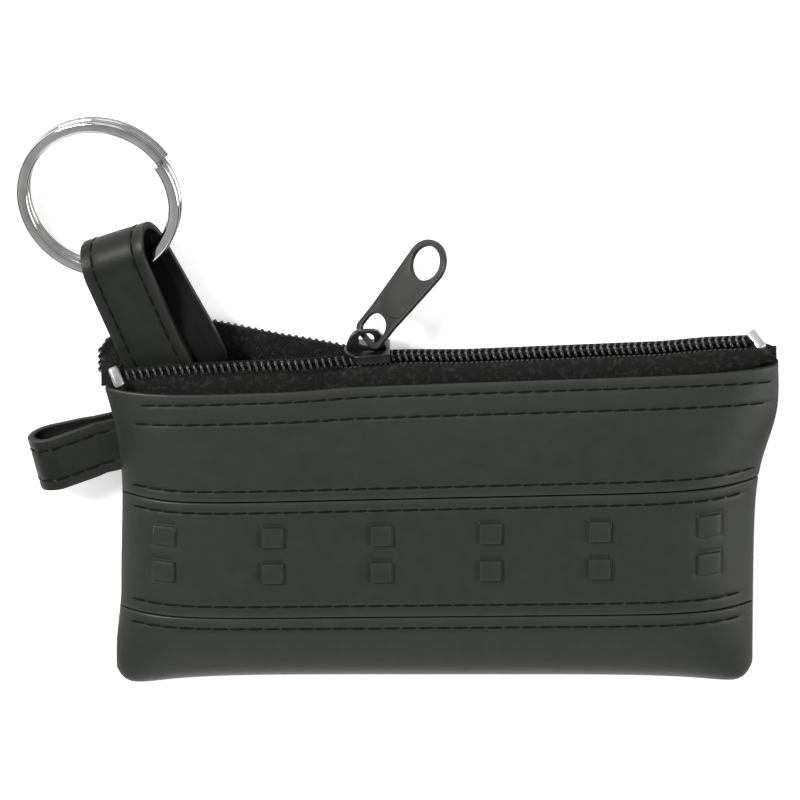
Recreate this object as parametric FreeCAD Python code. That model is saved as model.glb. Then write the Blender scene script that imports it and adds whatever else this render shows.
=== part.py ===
import FreeCAD
import Part
import math
import os

# Key case: a small zipped pouch lying on its back, with a split ring on a strap and a side loop.
# Millimetres. +X to the right, +Y towards the zip, +Z up out of the front face.
# The origin is in the middle of the flat back, on the surface that the case lies on.

# Pouch
case_half_width = 56.4
top_flare = 3.2
flare_power = 4
fold_y = -29.4
crown_y = 5.0
top_y = 27.4
top_tilt = 2.2
front_height = 12.5
seam_z = 4.0
wall = 1.2
seam_gap = 0.3
side_power = 9
ear_drop = 2.4
ear_power = 6
corner_round = 5.0
corner_power = 40
right_bulge = 2.4
bulge_y = 20.0
bulge_run = 9.0
bulge_power = 3
flat_depth = 0.3
top_drop = 3.5
mouth_lift = 1.6
back_top_rise = 1.0

# Seams of the front and the raised squares on the band
upper_seam_y = 7.4
lower_seam_y = -15.8
square_side = 3.9
square_rise = 0.35
square_sink = 0.4
square_pitch = 19.4
square_margin = 6.0
square_rows = 2
square_row_drop = 6.6
square_row_pitch = 7.1

# Lining
lining_gap = 0.75
lining_thickness = 0.4
lining_reach = 0.93
lining_tape_gap = 0.4

# Zip
chain_rise = 4.8
chain_slope = 0.044
chain_lift = 1.0
coil_half_width = 1.0
coil_half_height = 0.75
coil_wire = 0.4
coil_parting = 0.05
cord_gap = 0.12
tape_thickness = 0.4
tape_clearance = 0.2
tape_reach = 5.0
tape_bend = 1.5
tape_dip = 1.5
tape_fade_start = 0.8
tape_fade_end = 0.9
tape_end_lift = 0.5
tape_overhang = 0.6
zip_inset_left = 4.4
zip_inset_right = 4.6
mouth_lead = 0.9
mouth_run = 16.0
lift_lag = 1.6
lift_front_run = 16.0
lift_back_run = 29.0
mouth_front_y = 0.8
mouth_front_z = 3.4
mouth_back_y = 4.4
mouth_back_z = 2.0
left_inset = 8.2
left_run = 11.0
left_front_drop = 1.4
left_close = 0.45
turn_lag = 1.0
turn_run = 12.0
turn_angle = 85.0
stop_length = 2.3
stop_height = 2.2
stop_gap = 0.3
stop_round = 0.4

# Slider
slider_x = -12.4
slider_length = 8.2
slider_nose = 2.6
slider_taper = 0.5
slider_plate = 0.75
slider_side_room = 0.3
slider_head_room = 0.3
slider_floor_room = 0.5
slider_flange = 0.6
slider_flange_gap = 0.3
slider_base_half_width = 1.2
divider_inset = 0.3
divider_length = 1.9
divider_half_width = 0.15
bridge_inset = 0.8
bridge_width = 1.2
bridge_thickness = 0.75
bridge_round = 0.45
bridge_room = 2.95
bridge_foot = 1.9

# Pull tab
pull_length = 22.6
pull_thickness = 1.0
pull_rim = 1.0
pull_base_round = 1.6
pull_side_room = 1.85
pull_swing_room = 3.85
pull_hole_round = 1.2
pull_eye_outer = 4.3
pull_eye_radius = 3.15
pull_bar_gap = 0.54
pull_direction = (0.60, 0.80, -0.03)
pull_width_direction = (0.625, -0.257, 0.733)

# Key strap
strap_width = 12.0
strap_leather = 1.3
strap_layer_gap = 0.2
strap_lean = 24.5
strap_roll = 13.0
strap_bend_inset = 7.7
strap_bend_out = 6.46
strap_bend_lift = 1.25
strap_bend_gap = 0.35
strap_tail_length = 24.0
strap_rest_gap = 0.35
strap_loop_length = 20.2
strap_sewn_length = 4.4
strap_fold_radius = 3.5
strap_fold_rise = 0.5

# Split ring
ring_radius = 15.0
ring_radial = 2.2
ring_wire = 1.3
ring_turn_gap = 0.46
ring_turns = 2
ring_clearance = 0.3
ring_droop = 4.0
ring_split = -78.0

# Side loop
loop_width = 9.6
loop_leather = 1.3
loop_length = 12.8
loop_fold_radius = 2.45
loop_slot_half = 0.2
loop_drop = 12.5
loop_lean = 14.0
loop_root_gap = 0.35

# Stations that the curved sheets run through, and how far cutting solids reach past their work
across_stations = 25
zip_stations = 45
patch_stations = 9
square_stations = 5
bar_stations = 4
front_bend_share = 0.25
back_bend_share = 0.5
cut_past = 5.0
near = 0.01

# Sizes that follow from the ones above
edge_half = wall + seam_gap / 2
top_half_width = case_half_width + top_flare
chain_y = top_y + chain_rise
chain_z = seam_z + chain_lift
tape_end_left = -top_half_width
tape_end_right = top_half_width + tape_overhang
zip_left = tape_end_left + zip_inset_left
zip_right = tape_end_right - zip_inset_right
left_start = zip_left + left_inset
slider_left = slider_x - slider_length / 2
mouth_right = slider_x + mouth_lead
lift_start = slider_x - lift_lag
turn_start = slider_left - turn_lag
strap_thickness = 2 * strap_leather + strap_layer_gap


def vec(x, y, z):
    return FreeCAD.Vector(x, y, z)


def clamp(value):
    return max(0.0, min(1.0, value))


def smooth(value):
    t = clamp(value)
    return t * t * (3 - 2 * t)


# Shape of the pouch: u runs from -1 at the left seam to 1 at the right seam
def half_width(y):
    share = clamp((y - fold_y) / (top_y - fold_y))
    return case_half_width + top_flare * share ** flare_power


def side_share(u):
    return 1 - abs(u) ** side_power


def fold_line(u):
    return fold_y - ear_drop * abs(u) ** ear_power + corner_round * abs(u) ** corner_power


def mouth_open(x):
    return smooth((mouth_right - x) / mouth_run)


def left_share(x):
    return smooth((left_start - x) / left_run)


def low_share(u, y, inset):
    reach = crown_y - fold_line(u) - inset
    s = clamp((crown_y - y) / reach)
    return math.sqrt(1 - s ** 4)


def front_z(u, y, inset):
    rise = edge_half + (front_height - seam_z - edge_half) * side_share(u) - inset
    top_share = max(0.0, (y - crown_y) / (top_y - crown_y))
    drop = (top_drop - mouth_lift * mouth_open(u * half_width(y))) * side_share(u) * top_share ** 2
    return seam_z + rise * low_share(u, y, inset) - drop


def back_z(u, y, inset):
    fall = edge_half + (seam_z + flat_depth - edge_half) * side_share(u) - inset
    return seam_z - fall * low_share(u, y, inset)


def side_bulge(u, y):
    # The right side stands out a little below the end of the zip.
    return right_bulge * max(0.0, u) ** bulge_power * math.exp(-((y - bulge_y) / bulge_run) ** 2)


def place(u, y, z):
    tilt = top_tilt * u * (y - fold_y) / (top_y - fold_y)
    return vec(u * half_width(y) + side_bulge(u, y), y + tilt, z)


def spread(count, reach):
    # Stations across the case, closer together towards both seams.
    return [reach * math.sin(math.pi * (i / (count - 1) - 0.5)) for i in range(count)]


def steps(start, end, count):
    return [start + (end - start) * i / (count - 1) for i in range(count)]


# Solids between two surfaces
def surface_through(rows):
    surface = Part.BSplineSurface()
    surface.interpolate(rows)
    return surface


def sheet_solid(top_rows, bottom_rows):
    top = surface_through(top_rows)
    bottom = surface_through(bottom_rows)
    faces = [top.toShape(), bottom.toShape()]
    tu0, tu1, tv0, tv1 = top.bounds()
    bu0, bu1, bv0, bv1 = bottom.bounds()
    pairs = (
        (top.uIso(tu0), bottom.uIso(bu0)),
        (top.uIso(tu1), bottom.uIso(bu1)),
        (top.vIso(tv0), bottom.vIso(bv0)),
        (top.vIso(tv1), bottom.vIso(bv1)),
    )
    for upper, lower in pairs:
        faces.append(Part.makeRuledSurface(upper.toShape(), lower.toShape(), 1))
    shell = Part.makeShell(faces)
    shell.sewShape()
    solid = Part.makeSolid(shell)
    if solid.Volume < 0:
        solid.reverse()
    return solid


def front_patch(y_from, y_to, inset, u_stations):
    ys = steps(y_from, y_to, patch_stations)
    return [[place(u, y, front_z(u, y, inset)) for y in ys] for u in u_stations]


def front_sheet(y_from, y_to):
    us = spread(across_stations, 1.0)
    return sheet_solid(front_patch(y_from, y_to, 0.0, us), front_patch(y_from, y_to, wall, us))


def wrap_column(u, inset, y_front, y_back):
    # Down the front, round the bottom fold and up the back, at one station across the case.
    nose = fold_line(u) + inset
    reach = crown_y - nose
    points = []
    start = math.asin(clamp((crown_y - y_front) / reach) ** 2)
    if y_front > crown_y:
        for y in steps(y_front, crown_y, 5)[:-1]:
            points.append(place(u, y, front_z(u, y, inset)))
        start = math.asin(front_bend_share ** 2)
    for angle in steps(start, math.pi / 2, 8):
        y = crown_y - reach * math.sqrt(math.sin(angle))
        points.append(place(u, y, front_z(u, y, inset)))
    for angle in steps(math.pi / 2, math.asin(back_bend_share ** 2), 8)[1:]:
        y = crown_y - reach * math.sqrt(math.sin(angle))
        points.append(place(u, y, back_z(u, y, inset)))
    for y in steps(crown_y - reach * back_bend_share, y_back, 6)[1:]:
        points.append(place(u, y, back_z(u, y, inset)))
    return points


def wrap_sheet(y_front, y_back, outer_inset, inner_inset, reach):
    us = spread(across_stations, reach)
    outer = [wrap_column(u, outer_inset, y_front, y_back) for u in us]
    inner = [wrap_column(u, inner_inset, y_front, y_back) for u in us]
    return sheet_solid(outer, inner)


# Panels
def make_front_upper_panel():
    return front_sheet(upper_seam_y + seam_gap / 2, top_y)


def make_square(centre_x, centre_y):
    reach = square_side / 2
    us = [x / half_width(centre_y) for x in steps(centre_x - reach, centre_x + reach, square_stations)]
    top = front_patch(centre_y - reach, centre_y + reach, -square_rise, us)
    bottom = front_patch(centre_y - reach, centre_y + reach, square_sink, us)
    return sheet_solid(top, bottom)


def make_front_band():
    band = front_sheet(lower_seam_y + seam_gap / 2, upper_seam_y - seam_gap / 2)
    columns = int(2 * (case_half_width - square_margin) / square_pitch) + 1
    first_x = -square_pitch * (columns - 1) / 2
    for row in range(square_rows):
        row_y = upper_seam_y - square_row_drop - row * square_row_pitch
        for column in range(columns):
            band = band.fuse(make_square(first_x + column * square_pitch, row_y))
    return band


def make_wrap_panel():
    panel = wrap_sheet(lower_seam_y - seam_gap / 2, top_y + back_top_rise, 0.0, wall, 1.0)
    span = 4 * case_half_width
    below = Part.makeBox(span, span, span, vec(-span / 2, -span / 2, -span))
    return panel.cut(below)


def make_lining():
    outer = wall + lining_gap
    top = top_y - tape_reach - lining_tape_gap
    return wrap_sheet(top, top, outer, outer + lining_thickness, lining_reach)


# Zip: paths of the two coils, parted to the left of the slider
def chain_line(x):
    return chain_y + chain_slope * x


def coil_centre(x, side):
    closing = 1 - left_close * left_share(x)
    if side > 0:
        y = mouth_front_y * smooth((lift_start - x) / lift_front_run) - left_front_drop * left_share(x)
        part_z = mouth_front_z * mouth_open(x) * closing
    else:
        y = mouth_back_y * smooth((lift_start - x) / lift_back_run) * closing
        part_z = mouth_back_z * mouth_open(x)
    return vec(x, chain_line(x) + y, chain_z + side * (coil_parting + coil_half_width + part_z))


def coil_axes(x, side):
    # The tape's edge turns from facing the other tape to facing along +Y where the zip is open.
    turn = math.radians(turn_angle) * smooth((turn_start - x) / turn_run)
    edge = vec(0, math.sin(turn), -side * math.cos(turn))
    normal = vec(0, math.cos(turn), side * math.sin(turn))
    return edge, normal


def coil_bar(side, half_wide, half_high, x_from, x_to):
    top_rows = []
    bottom_rows = []
    for x in steps(x_from, x_to, zip_stations):
        centre = coil_centre(x, side)
        edge, normal = coil_axes(x, side)
        places = [centre + edge * e for e in steps(-half_wide, half_wide, bar_stations)]
        top_rows.append([p + normal * half_high for p in places])
        bottom_rows.append([p - normal * half_high for p in places])
    return sheet_solid(top_rows, bottom_rows)


def make_coil(side):
    bar = coil_bar(side, coil_half_width, coil_half_height, zip_left, zip_right)
    inside = coil_bar(side, coil_half_width - coil_wire, coil_half_height - coil_wire,
                      zip_left - coil_wire, zip_right + coil_wire)
    return bar.cut(inside)


def make_cord(side):
    hollow = coil_wire + cord_gap
    return coil_bar(side, coil_half_width - hollow, coil_half_height - hollow, zip_left, zip_right)


def tape_column(x, side):
    # From the seam inside the panel's top edge to the edge under the coil, as a cubic curve.
    centre = coil_centre(x, side)
    edge, normal = coil_axes(x, side)
    under = coil_half_height + tape_clearance
    u = max(-1.0, min(1.0, x / half_width(top_y)))
    inside = 1 - smooth((abs(u) - tape_fade_start) / (tape_fade_end - tape_fade_start))
    rim_y = top_y + top_tilt * u + tape_end_lift * (1 - inside)
    if side > 0:
        wall_z = front_z(u, top_y, wall) - tape_clearance
        foot_z = front_z(u, top_y - tape_reach, wall) - tape_clearance
    else:
        rim_y += back_top_rise
        wall_z = back_z(u, top_y, wall) + tape_clearance
        foot_z = back_z(u, top_y - tape_reach, wall) + tape_clearance
    rim_z = wall_z * inside + (chain_z + side * tape_end_lift) * (1 - inside)
    rim = vec(x, rim_y, rim_z - side * tape_dip * inside)
    foot = vec(x, rim_y - tape_reach * inside, foot_z * inside + rim_z * (1 - inside))
    bend = centre - edge * (coil_half_width + tape_bend) - normal * under
    tip = centre + edge * (coil_half_width - tape_clearance / 2) - normal * under
    outer = []
    inner = []
    for t in steps(0, 1, patch_stations):
        k = 1 - t
        point = foot * k ** 3 + rim * (3 * t * k * k) + bend * (3 * t * t * k) + tip * t ** 3
        forward = (rim - foot) * (k * k) + (bend - rim) * (2 * t * k) + (tip - bend) * (t * t)
        if forward.Length < near:
            forward = bend - rim
        forward.normalize()
        outer.append(point)
        inner.append(point + vec(0, side * forward.z, -side * forward.y) * tape_thickness)
    return outer, inner


def make_tape(side):
    outer = []
    inner = []
    for x in steps(tape_end_left, tape_end_right, zip_stations):
        top, bottom = tape_column(x, side)
        outer.append(top)
        inner.append(bottom)
    return sheet_solid(outer, inner)


def frame_matrix(origin, x_axis, y_axis, z_axis):
    return FreeCAD.Matrix(
        x_axis.x, y_axis.x, z_axis.x, origin.x,
        x_axis.y, y_axis.y, z_axis.y, origin.y,
        x_axis.z, y_axis.z, z_axis.z, origin.z,
        0, 0, 0, 1)


def placed(shape, origin, x_axis, y_axis, z_axis):
    result = shape.copy()
    move = FreeCAD.Placement(frame_matrix(origin, x_axis, y_axis, z_axis))
    result.Placement = move.multiply(shape.Placement)
    return result


def box_between(x0, x1, y0, y1, z0, z1):
    return Part.makeBox(x1 - x0, y1 - y0, z1 - z0, vec(x0, y0, z0))


def make_top_stop(side):
    x = zip_left - stop_gap - stop_length / 2
    edge, normal = coil_axes(x, side)
    block = box_between(-stop_length / 2, stop_length / 2, -coil_half_width, coil_half_width,
                        -coil_half_height, stop_height - coil_half_height)
    block = block.makeFillet(stop_round, block.Edges)
    along = edge.cross(normal)
    return placed(block, coil_centre(x, side), along, edge, normal)


def make_bottom_stop():
    x = zip_right + stop_gap + stop_length / 2
    reach = 2 * coil_half_width + coil_parting
    block = box_between(-stop_length / 2, stop_length / 2, -coil_half_height,
                        stop_height - coil_half_height, -reach, reach)
    block = block.makeFillet(stop_round, block.Edges)
    block.translate(vec(x, chain_line(x), chain_z))
    return block


# Slider, in its own frame: x along the chain, y out of the zip, z towards the front tape
chain_direction = vec(1, chain_slope, 0).normalize()
chain_normal = vec(-chain_slope, 1, 0).normalize()
slider_origin = vec(slider_x, chain_line(slider_x), chain_z)
plate_low = coil_half_height + slider_head_room
plate_high = plate_low + slider_plate
base_high = -(coil_half_height + tape_clearance + tape_thickness + slider_floor_room)
base_low = base_high - slider_plate
coil_spread = coil_centre(slider_left, 1).z - chain_z + coil_half_width
slider_inner = coil_spread + slider_side_room
slider_half_width = slider_inner + slider_flange
post_left = -slider_length / 2 + divider_inset


def slider_placed(shape):
    return placed(shape, slider_origin, chain_direction, chain_normal, vec(0, 0, 1))


def slider_outline(half):
    # A plate with a rounded nose on the open side and a straight end on the closed side.
    left = -slider_length / 2
    right = slider_length / 2
    shoulder = left + slider_nose
    tail = half - slider_taper
    edges = [
        Part.LineSegment(vec(shoulder, 0, half), vec(right, 0, tail)).toShape(),
        Part.LineSegment(vec(right, 0, tail), vec(right, 0, -tail)).toShape(),
        Part.LineSegment(vec(right, 0, -tail), vec(shoulder, 0, -half)).toShape(),
        Part.Arc(vec(shoulder, 0, -half), vec(left, 0, 0), vec(shoulder, 0, half)).toShape(),
    ]
    return Part.Face(Part.Wire(edges))


def make_slider_body():
    top = slider_outline(slider_half_width).extrude(vec(0, slider_plate, 0))
    top.translate(vec(0, plate_low, 0))
    base = slider_outline(slider_base_half_width).extrude(vec(0, slider_plate, 0))
    base.translate(vec(0, base_low, 0))
    body = top.fuse(base)
    flange_low = -(coil_half_height + tape_clearance) + slider_flange_gap
    height = plate_low - flange_low
    rails = slider_outline(slider_half_width).extrude(vec(0, height, 0))
    rails = rails.cut(box_between(-slider_length, slider_length, -cut_past, height + cut_past,
                                  -slider_inner, slider_inner))
    rails.translate(vec(0, flange_low, 0))
    body = body.fuse(rails)
    sunk = slider_plate / 2
    post = box_between(post_left, post_left + divider_length, base_high - sunk, plate_low + sunk,
                       -divider_half_width, divider_half_width)
    post.translate(vec(0, 0, divider_shift))
    return slider_placed(body.fuse(post).removeSplitter())


def divider_place():
    # The post stands midway between the two parted coils at the open end.
    x = slider_x + post_left + divider_length / 2
    return (coil_centre(x, 1).z + coil_centre(x, -1).z) / 2 - chain_z


divider_shift = divider_place()


def make_slider_bridge():
    half = slider_length / 2 - bridge_inset
    width = bridge_width / 2
    height = bridge_room + bridge_thickness
    arch = box_between(-half, half, 0, height, -width, width)
    arch = arch.cut(box_between(-half + bridge_foot, half - bridge_foot, -cut_past, bridge_room,
                                -width - cut_past, width + cut_past))
    tops = [e for e in arch.Edges if abs(e.CenterOfMass.y - height) < near]
    arch = arch.makeFillet(bridge_round, tops)
    arch.translate(vec(0, plate_high, 0))
    return slider_placed(arch)


# Pull tab, in its own frame: x along its length from the pivot, y across its width
pull_along = vec(*pull_direction).normalize()
pull_across = vec(*pull_width_direction)
pull_across = (pull_across - pull_along * pull_across.dot(pull_along)).normalize()
pull_bar_reach = math.hypot(pull_rim, pull_thickness) / 2
pull_pivot_rise = bridge_room - pull_bar_reach - pull_bar_gap
pull_pivot = slider_origin + chain_normal * (plate_high + pull_pivot_rise)
pull_hole_half = bridge_width / 2 + pull_side_room
pull_hole_end = pull_rim / 2 + bridge_thickness + pull_swing_room
eye_x = pull_length - pull_rim / 2 - pull_eye_outer


def make_pull_tab():
    half_t = pull_thickness / 2
    base_half = pull_hole_half + pull_rim
    back = -pull_rim / 2
    corners = [
        vec(back, -base_half, -half_t), vec(pull_hole_end, -base_half, -half_t),
        vec(eye_x, -pull_eye_outer, -half_t), vec(eye_x, pull_eye_outer, -half_t),
        vec(pull_hole_end, base_half, -half_t), vec(back, base_half, -half_t),
    ]
    outline = Part.Face(Part.makePolygon(corners + corners[:1]))
    tab = outline.extrude(vec(0, 0, pull_thickness))
    ends = [e for e in tab.Edges if abs(e.CenterOfMass.z) < near and abs(e.CenterOfMass.x - back) < near]
    tab = tab.makeFillet(pull_base_round, ends)
    eye = Part.makeCylinder(pull_eye_outer, pull_thickness, vec(eye_x, 0, -half_t))
    tab = tab.fuse(eye).removeSplitter()
    hole = box_between(pull_rim / 2, pull_hole_end, -pull_hole_half, pull_hole_half, -cut_past, cut_past)
    rounded = [e for e in hole.Edges if abs(e.CenterOfMass.z) < near]
    hole = hole.makeFillet(pull_hole_round, rounded)
    tab = tab.cut(hole)
    tab = tab.cut(Part.makeCylinder(pull_eye_radius, 2 * cut_past, vec(eye_x, 0, -cut_past)))
    return placed(tab, pull_pivot, pull_along, pull_across, pull_along.cross(pull_across))


# Key strap: x along it from the bend in the mouth, y across its width, z out of its face
lean = math.radians(strap_lean)
strap_plan = vec(-math.sin(lean), math.cos(lean), 0)
strap_bend_x = zip_left + strap_bend_inset
strap_bend = vec(strap_bend_x, chain_line(strap_bend_x) + strap_bend_out, chain_z + strap_bend_lift)
strap_outer_radius = strap_fold_radius + strap_leather
fold_centre_x = strap_loop_length - strap_outer_radius
strap_along = (strap_plan * fold_centre_x + vec(0, 0, strap_fold_rise)).normalize()
strap_flat_across = vec(0, 0, 1).cross(strap_along).normalize()
strap_flat_normal = strap_along.cross(strap_flat_across)
roll = math.radians(strap_roll)
strap_across = strap_flat_across * math.cos(roll) - strap_flat_normal * math.sin(roll)
strap_normal = strap_along.cross(strap_across)


def tangent_profile(length, end_half, radius, centre_x, y):
    # Two straight legs from a square end to the round fold, tangent to it.
    lean_angle = math.asin((radius - end_half) / (centre_x - length))
    touch_x = centre_x - radius * math.sin(lean_angle)
    touch_z = radius * math.cos(lean_angle)
    edges = [
        Part.LineSegment(vec(length, y, -end_half), vec(touch_x, y, -touch_z)).toShape(),
        Part.Arc(vec(touch_x, y, -touch_z), vec(centre_x + radius, y, 0), vec(touch_x, y, touch_z)).toShape(),
        Part.LineSegment(vec(touch_x, y, touch_z), vec(length, y, end_half)).toShape(),
        Part.LineSegment(vec(length, y, end_half), vec(length, y, -end_half)).toShape(),
    ]
    return Part.Face(Part.Wire(edges))


def make_strap_loop():
    y = -strap_width / 2
    half = strap_thickness / 2
    outer = tangent_profile(strap_bend_gap, half, strap_outer_radius, fold_centre_x, y)
    inner = tangent_profile(strap_sewn_length, strap_layer_gap, strap_fold_radius,
                            fold_centre_x, y - cut_past)
    loop = outer.extrude(vec(0, strap_width, 0))
    loop = loop.cut(inner.extrude(vec(0, strap_width + 2 * cut_past, 0)))
    return placed(loop, strap_bend, strap_along, strap_across, strap_normal)


def make_strap_tail():
    # The tail slopes down from the mouth to rest on the lining of the back.
    lining_top = wall + lining_gap + lining_thickness - flat_depth
    fall = strap_bend.z - lining_top - strap_rest_gap - strap_thickness / 2
    along = (strap_plan * strap_tail_length + vec(0, 0, fall)).normalize()
    across_tail = vec(0, 0, 1).cross(along).normalize()
    half = strap_thickness / 2
    tail = box_between(-strap_tail_length, -strap_bend_gap, -strap_width / 2, strap_width / 2, -half, half)
    return placed(tail, strap_bend, along, across_tail, along.cross(across_tail))


# Split ring: two turns of flat wire, each a spiral step higher than the last
ring_mean = ring_radius - ring_radial / 2
droop = math.radians(ring_droop)
ring_out = strap_along * math.cos(droop) - strap_normal * math.sin(droop)
ring_normal = ring_out.cross(strap_across)
ring_pitch = ring_wire + ring_turn_gap
ring_stack = (ring_pitch + ring_wire) / 2
ring_bow = ring_mean - math.sqrt(ring_mean ** 2 - (strap_width / 2) ** 2)
ring_swing = math.hypot(ring_bow + ring_radial / 2, ring_stack)
ring_shift = strap_fold_radius - ring_swing - ring_clearance
ring_pivot = strap_bend + strap_along * (fold_centre_x + ring_shift)
ring_centre = ring_pivot + ring_out * ring_mean
ring_start = math.radians(ring_split)


def ring_outward(angle):
    return ring_out * math.cos(angle) + strap_across * math.sin(angle)


def ring_point(angle):
    rise = ring_pitch * (angle / (2 * math.pi) - ring_turns / 2)
    return ring_centre + ring_outward(angle) * ring_mean + ring_normal * rise


def ring_tangent(angle):
    forward = strap_across * math.cos(angle) - ring_out * math.sin(angle)
    return (forward * ring_mean + ring_normal * (ring_pitch / (2 * math.pi))).normalize()


def arc_from(start, apex, end):
    chord = (end - start).normalize()
    weight = chord.dot((apex - start).normalize())
    middle = (start + apex * (2 * weight) + end) * (1 / (2 + 2 * weight))
    return Part.Arc(start, middle, end).toShape()


def biarc(start, start_tangent, end, end_tangent):
    gap = end - start
    both = start_tangent + end_tangent
    bend = 2 * (1 - start_tangent.dot(end_tangent))
    reach = gap.dot(both)
    length = (-reach + math.sqrt(reach * reach + bend * gap.dot(gap))) / bend
    first = start + start_tangent * length
    second = end - end_tangent * length
    joint = (first + second) * 0.5
    return [arc_from(start, first, joint), arc_from(joint, second, end)]


def make_split_ring():
    angles = steps(ring_start, ring_start + 2 * math.pi * ring_turns, 4 * ring_turns + 1)
    edges = []
    for a, b in zip(angles[:-1], angles[1:]):
        edges += biarc(ring_point(a), ring_tangent(a), ring_point(b), ring_tangent(b))
    path = Part.Wire(edges)
    along = ring_tangent(ring_start)
    outward = ring_outward(ring_start)
    up = along.cross(outward) * -1
    half_r = ring_radial / 2
    half_w = ring_wire / 2
    start = ring_point(ring_start)
    corners = [
        start + outward * half_r + up * half_w, start - outward * half_r + up * half_w,
        start - outward * half_r - up * half_w, start + outward * half_r - up * half_w,
    ]
    section = Part.makePolygon(corners + corners[:1])
    return path.makePipeShell([section], True, False)


def ring_gap():
    # Least gap between stretches of the wire that lie half a turn or more apart along it.
    per_turn = 96
    points = [ring_point(ring_start + 2 * math.pi * i / per_turn) for i in range(per_turn * ring_turns + 1)]
    least = ring_radius
    for i, point in enumerate(points):
        for other in points[i + per_turn // 2:]:
            least = min(least, (other - point).Length)
    return least - ring_wire


# Side loop, in its own frame: x away from the seam, y along the seam, z up
loop_y = top_y - loop_drop
loop_turn = math.radians(loop_lean)
loop_root_radius = loop_leather
seam_slope = (half_width(loop_y + loop_width / 2) - half_width(loop_y - loop_width / 2)) / loop_width
loop_corner = loop_width / 2 * abs(math.sin(loop_turn) - seam_slope)
loop_root = vec(-half_width(loop_y) - loop_corner - loop_root_gap - loop_root_radius,
                loop_y - top_tilt * (loop_y - fold_y) / (top_y - fold_y), seam_z)
loop_along = vec(-math.cos(loop_turn), -math.sin(loop_turn), 0)
loop_across = vec(math.sin(loop_turn), -math.cos(loop_turn), 0)


def make_side_loop():
    outer_radius = loop_fold_radius + loop_leather
    centre_x = loop_length - outer_radius
    y = -loop_width / 2
    outer = tangent_profile(0, loop_root_radius, outer_radius, centre_x, y)
    inner = tangent_profile(loop_leather, loop_slot_half, loop_fold_radius, centre_x, y - cut_past)
    root = Part.makeCylinder(loop_root_radius, loop_width, vec(0, y, 0), vec(0, 1, 0))
    loop = outer.extrude(vec(0, loop_width, 0)).fuse(root)
    loop = loop.cut(inner.extrude(vec(0, loop_width + 2 * cut_past, 0))).removeSplitter()
    return placed(loop, loop_root, loop_along, loop_across, vec(0, 0, 1))


def build():
    parts = {
        "front_upper_panel": make_front_upper_panel(),
        "front_band": make_front_band(),
        "wrap_panel": make_wrap_panel(),
        "lining": make_lining(),
        "zip_tape_front": make_tape(1),
        "zip_tape_back": make_tape(-1),
        "zip_coil_front": make_coil(1),
        "zip_coil_back": make_coil(-1),
        "zip_cord_front": make_cord(1),
        "zip_cord_back": make_cord(-1),
        "top_stop_front": make_top_stop(1),
        "top_stop_back": make_top_stop(-1),
        "bottom_stop": make_bottom_stop(),
        "slider_body": make_slider_body(),
        "slider_bridge": make_slider_bridge(),
        "pull_tab": make_pull_tab(),
        "strap_tail": make_strap_tail(),
        "strap_loop": make_strap_loop(),
        "split_ring": make_split_ring(),
        "side_loop": make_side_loop(),
    }
    os.makedirs("parts", exist_ok=True)
    for name, shape in parts.items():
        box = shape.BoundBox
        print(name, shape.ShapeType, len(shape.Solids), shape.isValid(), round(shape.Volume, 2),
              [round(v, 2) for v in (box.XMin, box.XMax, box.YMin, box.YMax, box.ZMin, box.ZMax)])
        shape.exportStep("parts/" + name + ".step")
    print("least gap between the ring's turns", round(ring_gap(), 3))
    return parts


if __name__ == "__main__":
    build()
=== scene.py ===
import bpy
import math
from mathutils import Matrix, Vector


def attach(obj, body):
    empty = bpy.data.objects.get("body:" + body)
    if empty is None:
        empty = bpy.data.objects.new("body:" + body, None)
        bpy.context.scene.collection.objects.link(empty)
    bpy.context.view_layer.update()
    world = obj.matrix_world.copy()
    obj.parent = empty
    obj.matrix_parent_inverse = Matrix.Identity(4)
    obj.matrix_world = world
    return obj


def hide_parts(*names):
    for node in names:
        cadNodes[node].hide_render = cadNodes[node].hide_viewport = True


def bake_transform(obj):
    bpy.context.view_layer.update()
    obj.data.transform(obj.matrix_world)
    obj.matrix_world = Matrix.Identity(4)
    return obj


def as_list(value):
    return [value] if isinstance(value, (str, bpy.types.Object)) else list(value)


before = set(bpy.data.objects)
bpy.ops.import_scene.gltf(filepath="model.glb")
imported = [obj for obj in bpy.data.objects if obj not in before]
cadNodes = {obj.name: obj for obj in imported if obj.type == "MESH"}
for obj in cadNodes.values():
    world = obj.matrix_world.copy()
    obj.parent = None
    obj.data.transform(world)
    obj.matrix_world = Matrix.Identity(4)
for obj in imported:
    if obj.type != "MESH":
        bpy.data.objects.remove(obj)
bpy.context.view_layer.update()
mm = 0.001  # the shapes below are worked out in millimetres and placed in metres
print("frame loaded:", len(cadNodes), "nodes")


# selecting and finishing, as from the menus
def clearSelection():
    active = bpy.context.view_layer.objects.active
    if active and active.mode != "OBJECT":
        bpy.ops.object.mode_set(mode="OBJECT")
    bpy.ops.object.select_all(action="DESELECT")


def pickOnly(piece):
    clearSelection()
    piece.select_set(True)
    bpy.context.view_layer.objects.active = piece


def finishWith(piece, kind, **settings):
    pickOnly(piece)
    modifier = piece.modifiers.new(kind.title(), kind)
    for name, value in settings.items():
        setattr(modifier, name, value)
    bpy.ops.object.modifier_apply(modifier=modifier.name)


# edges that turn by more than this many degrees stay sharp
sharpAngle = {"leather": 50, "strip": 45, "thread": 60, "ring": 40, "stop": 40, "plate": 38}


def smoothShade(piece, kind):
    pickOnly(piece)
    bpy.ops.object.shade_smooth_by_angle(angle=math.radians(sharpAngle[kind]))


def thicken(piece, thickness):
    finishWith(piece, "SOLIDIFY", thickness=thickness * mm, offset=-1)
    smoothShade(piece, "leather")


def faceOutwards(piece):
    pickOnly(piece)
    bpy.ops.object.mode_set(mode="EDIT")
    bpy.ops.mesh.select_all(action="SELECT")
    bpy.ops.mesh.normals_make_consistent(inside=False)
    bpy.ops.object.mode_set(mode="OBJECT")


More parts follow.
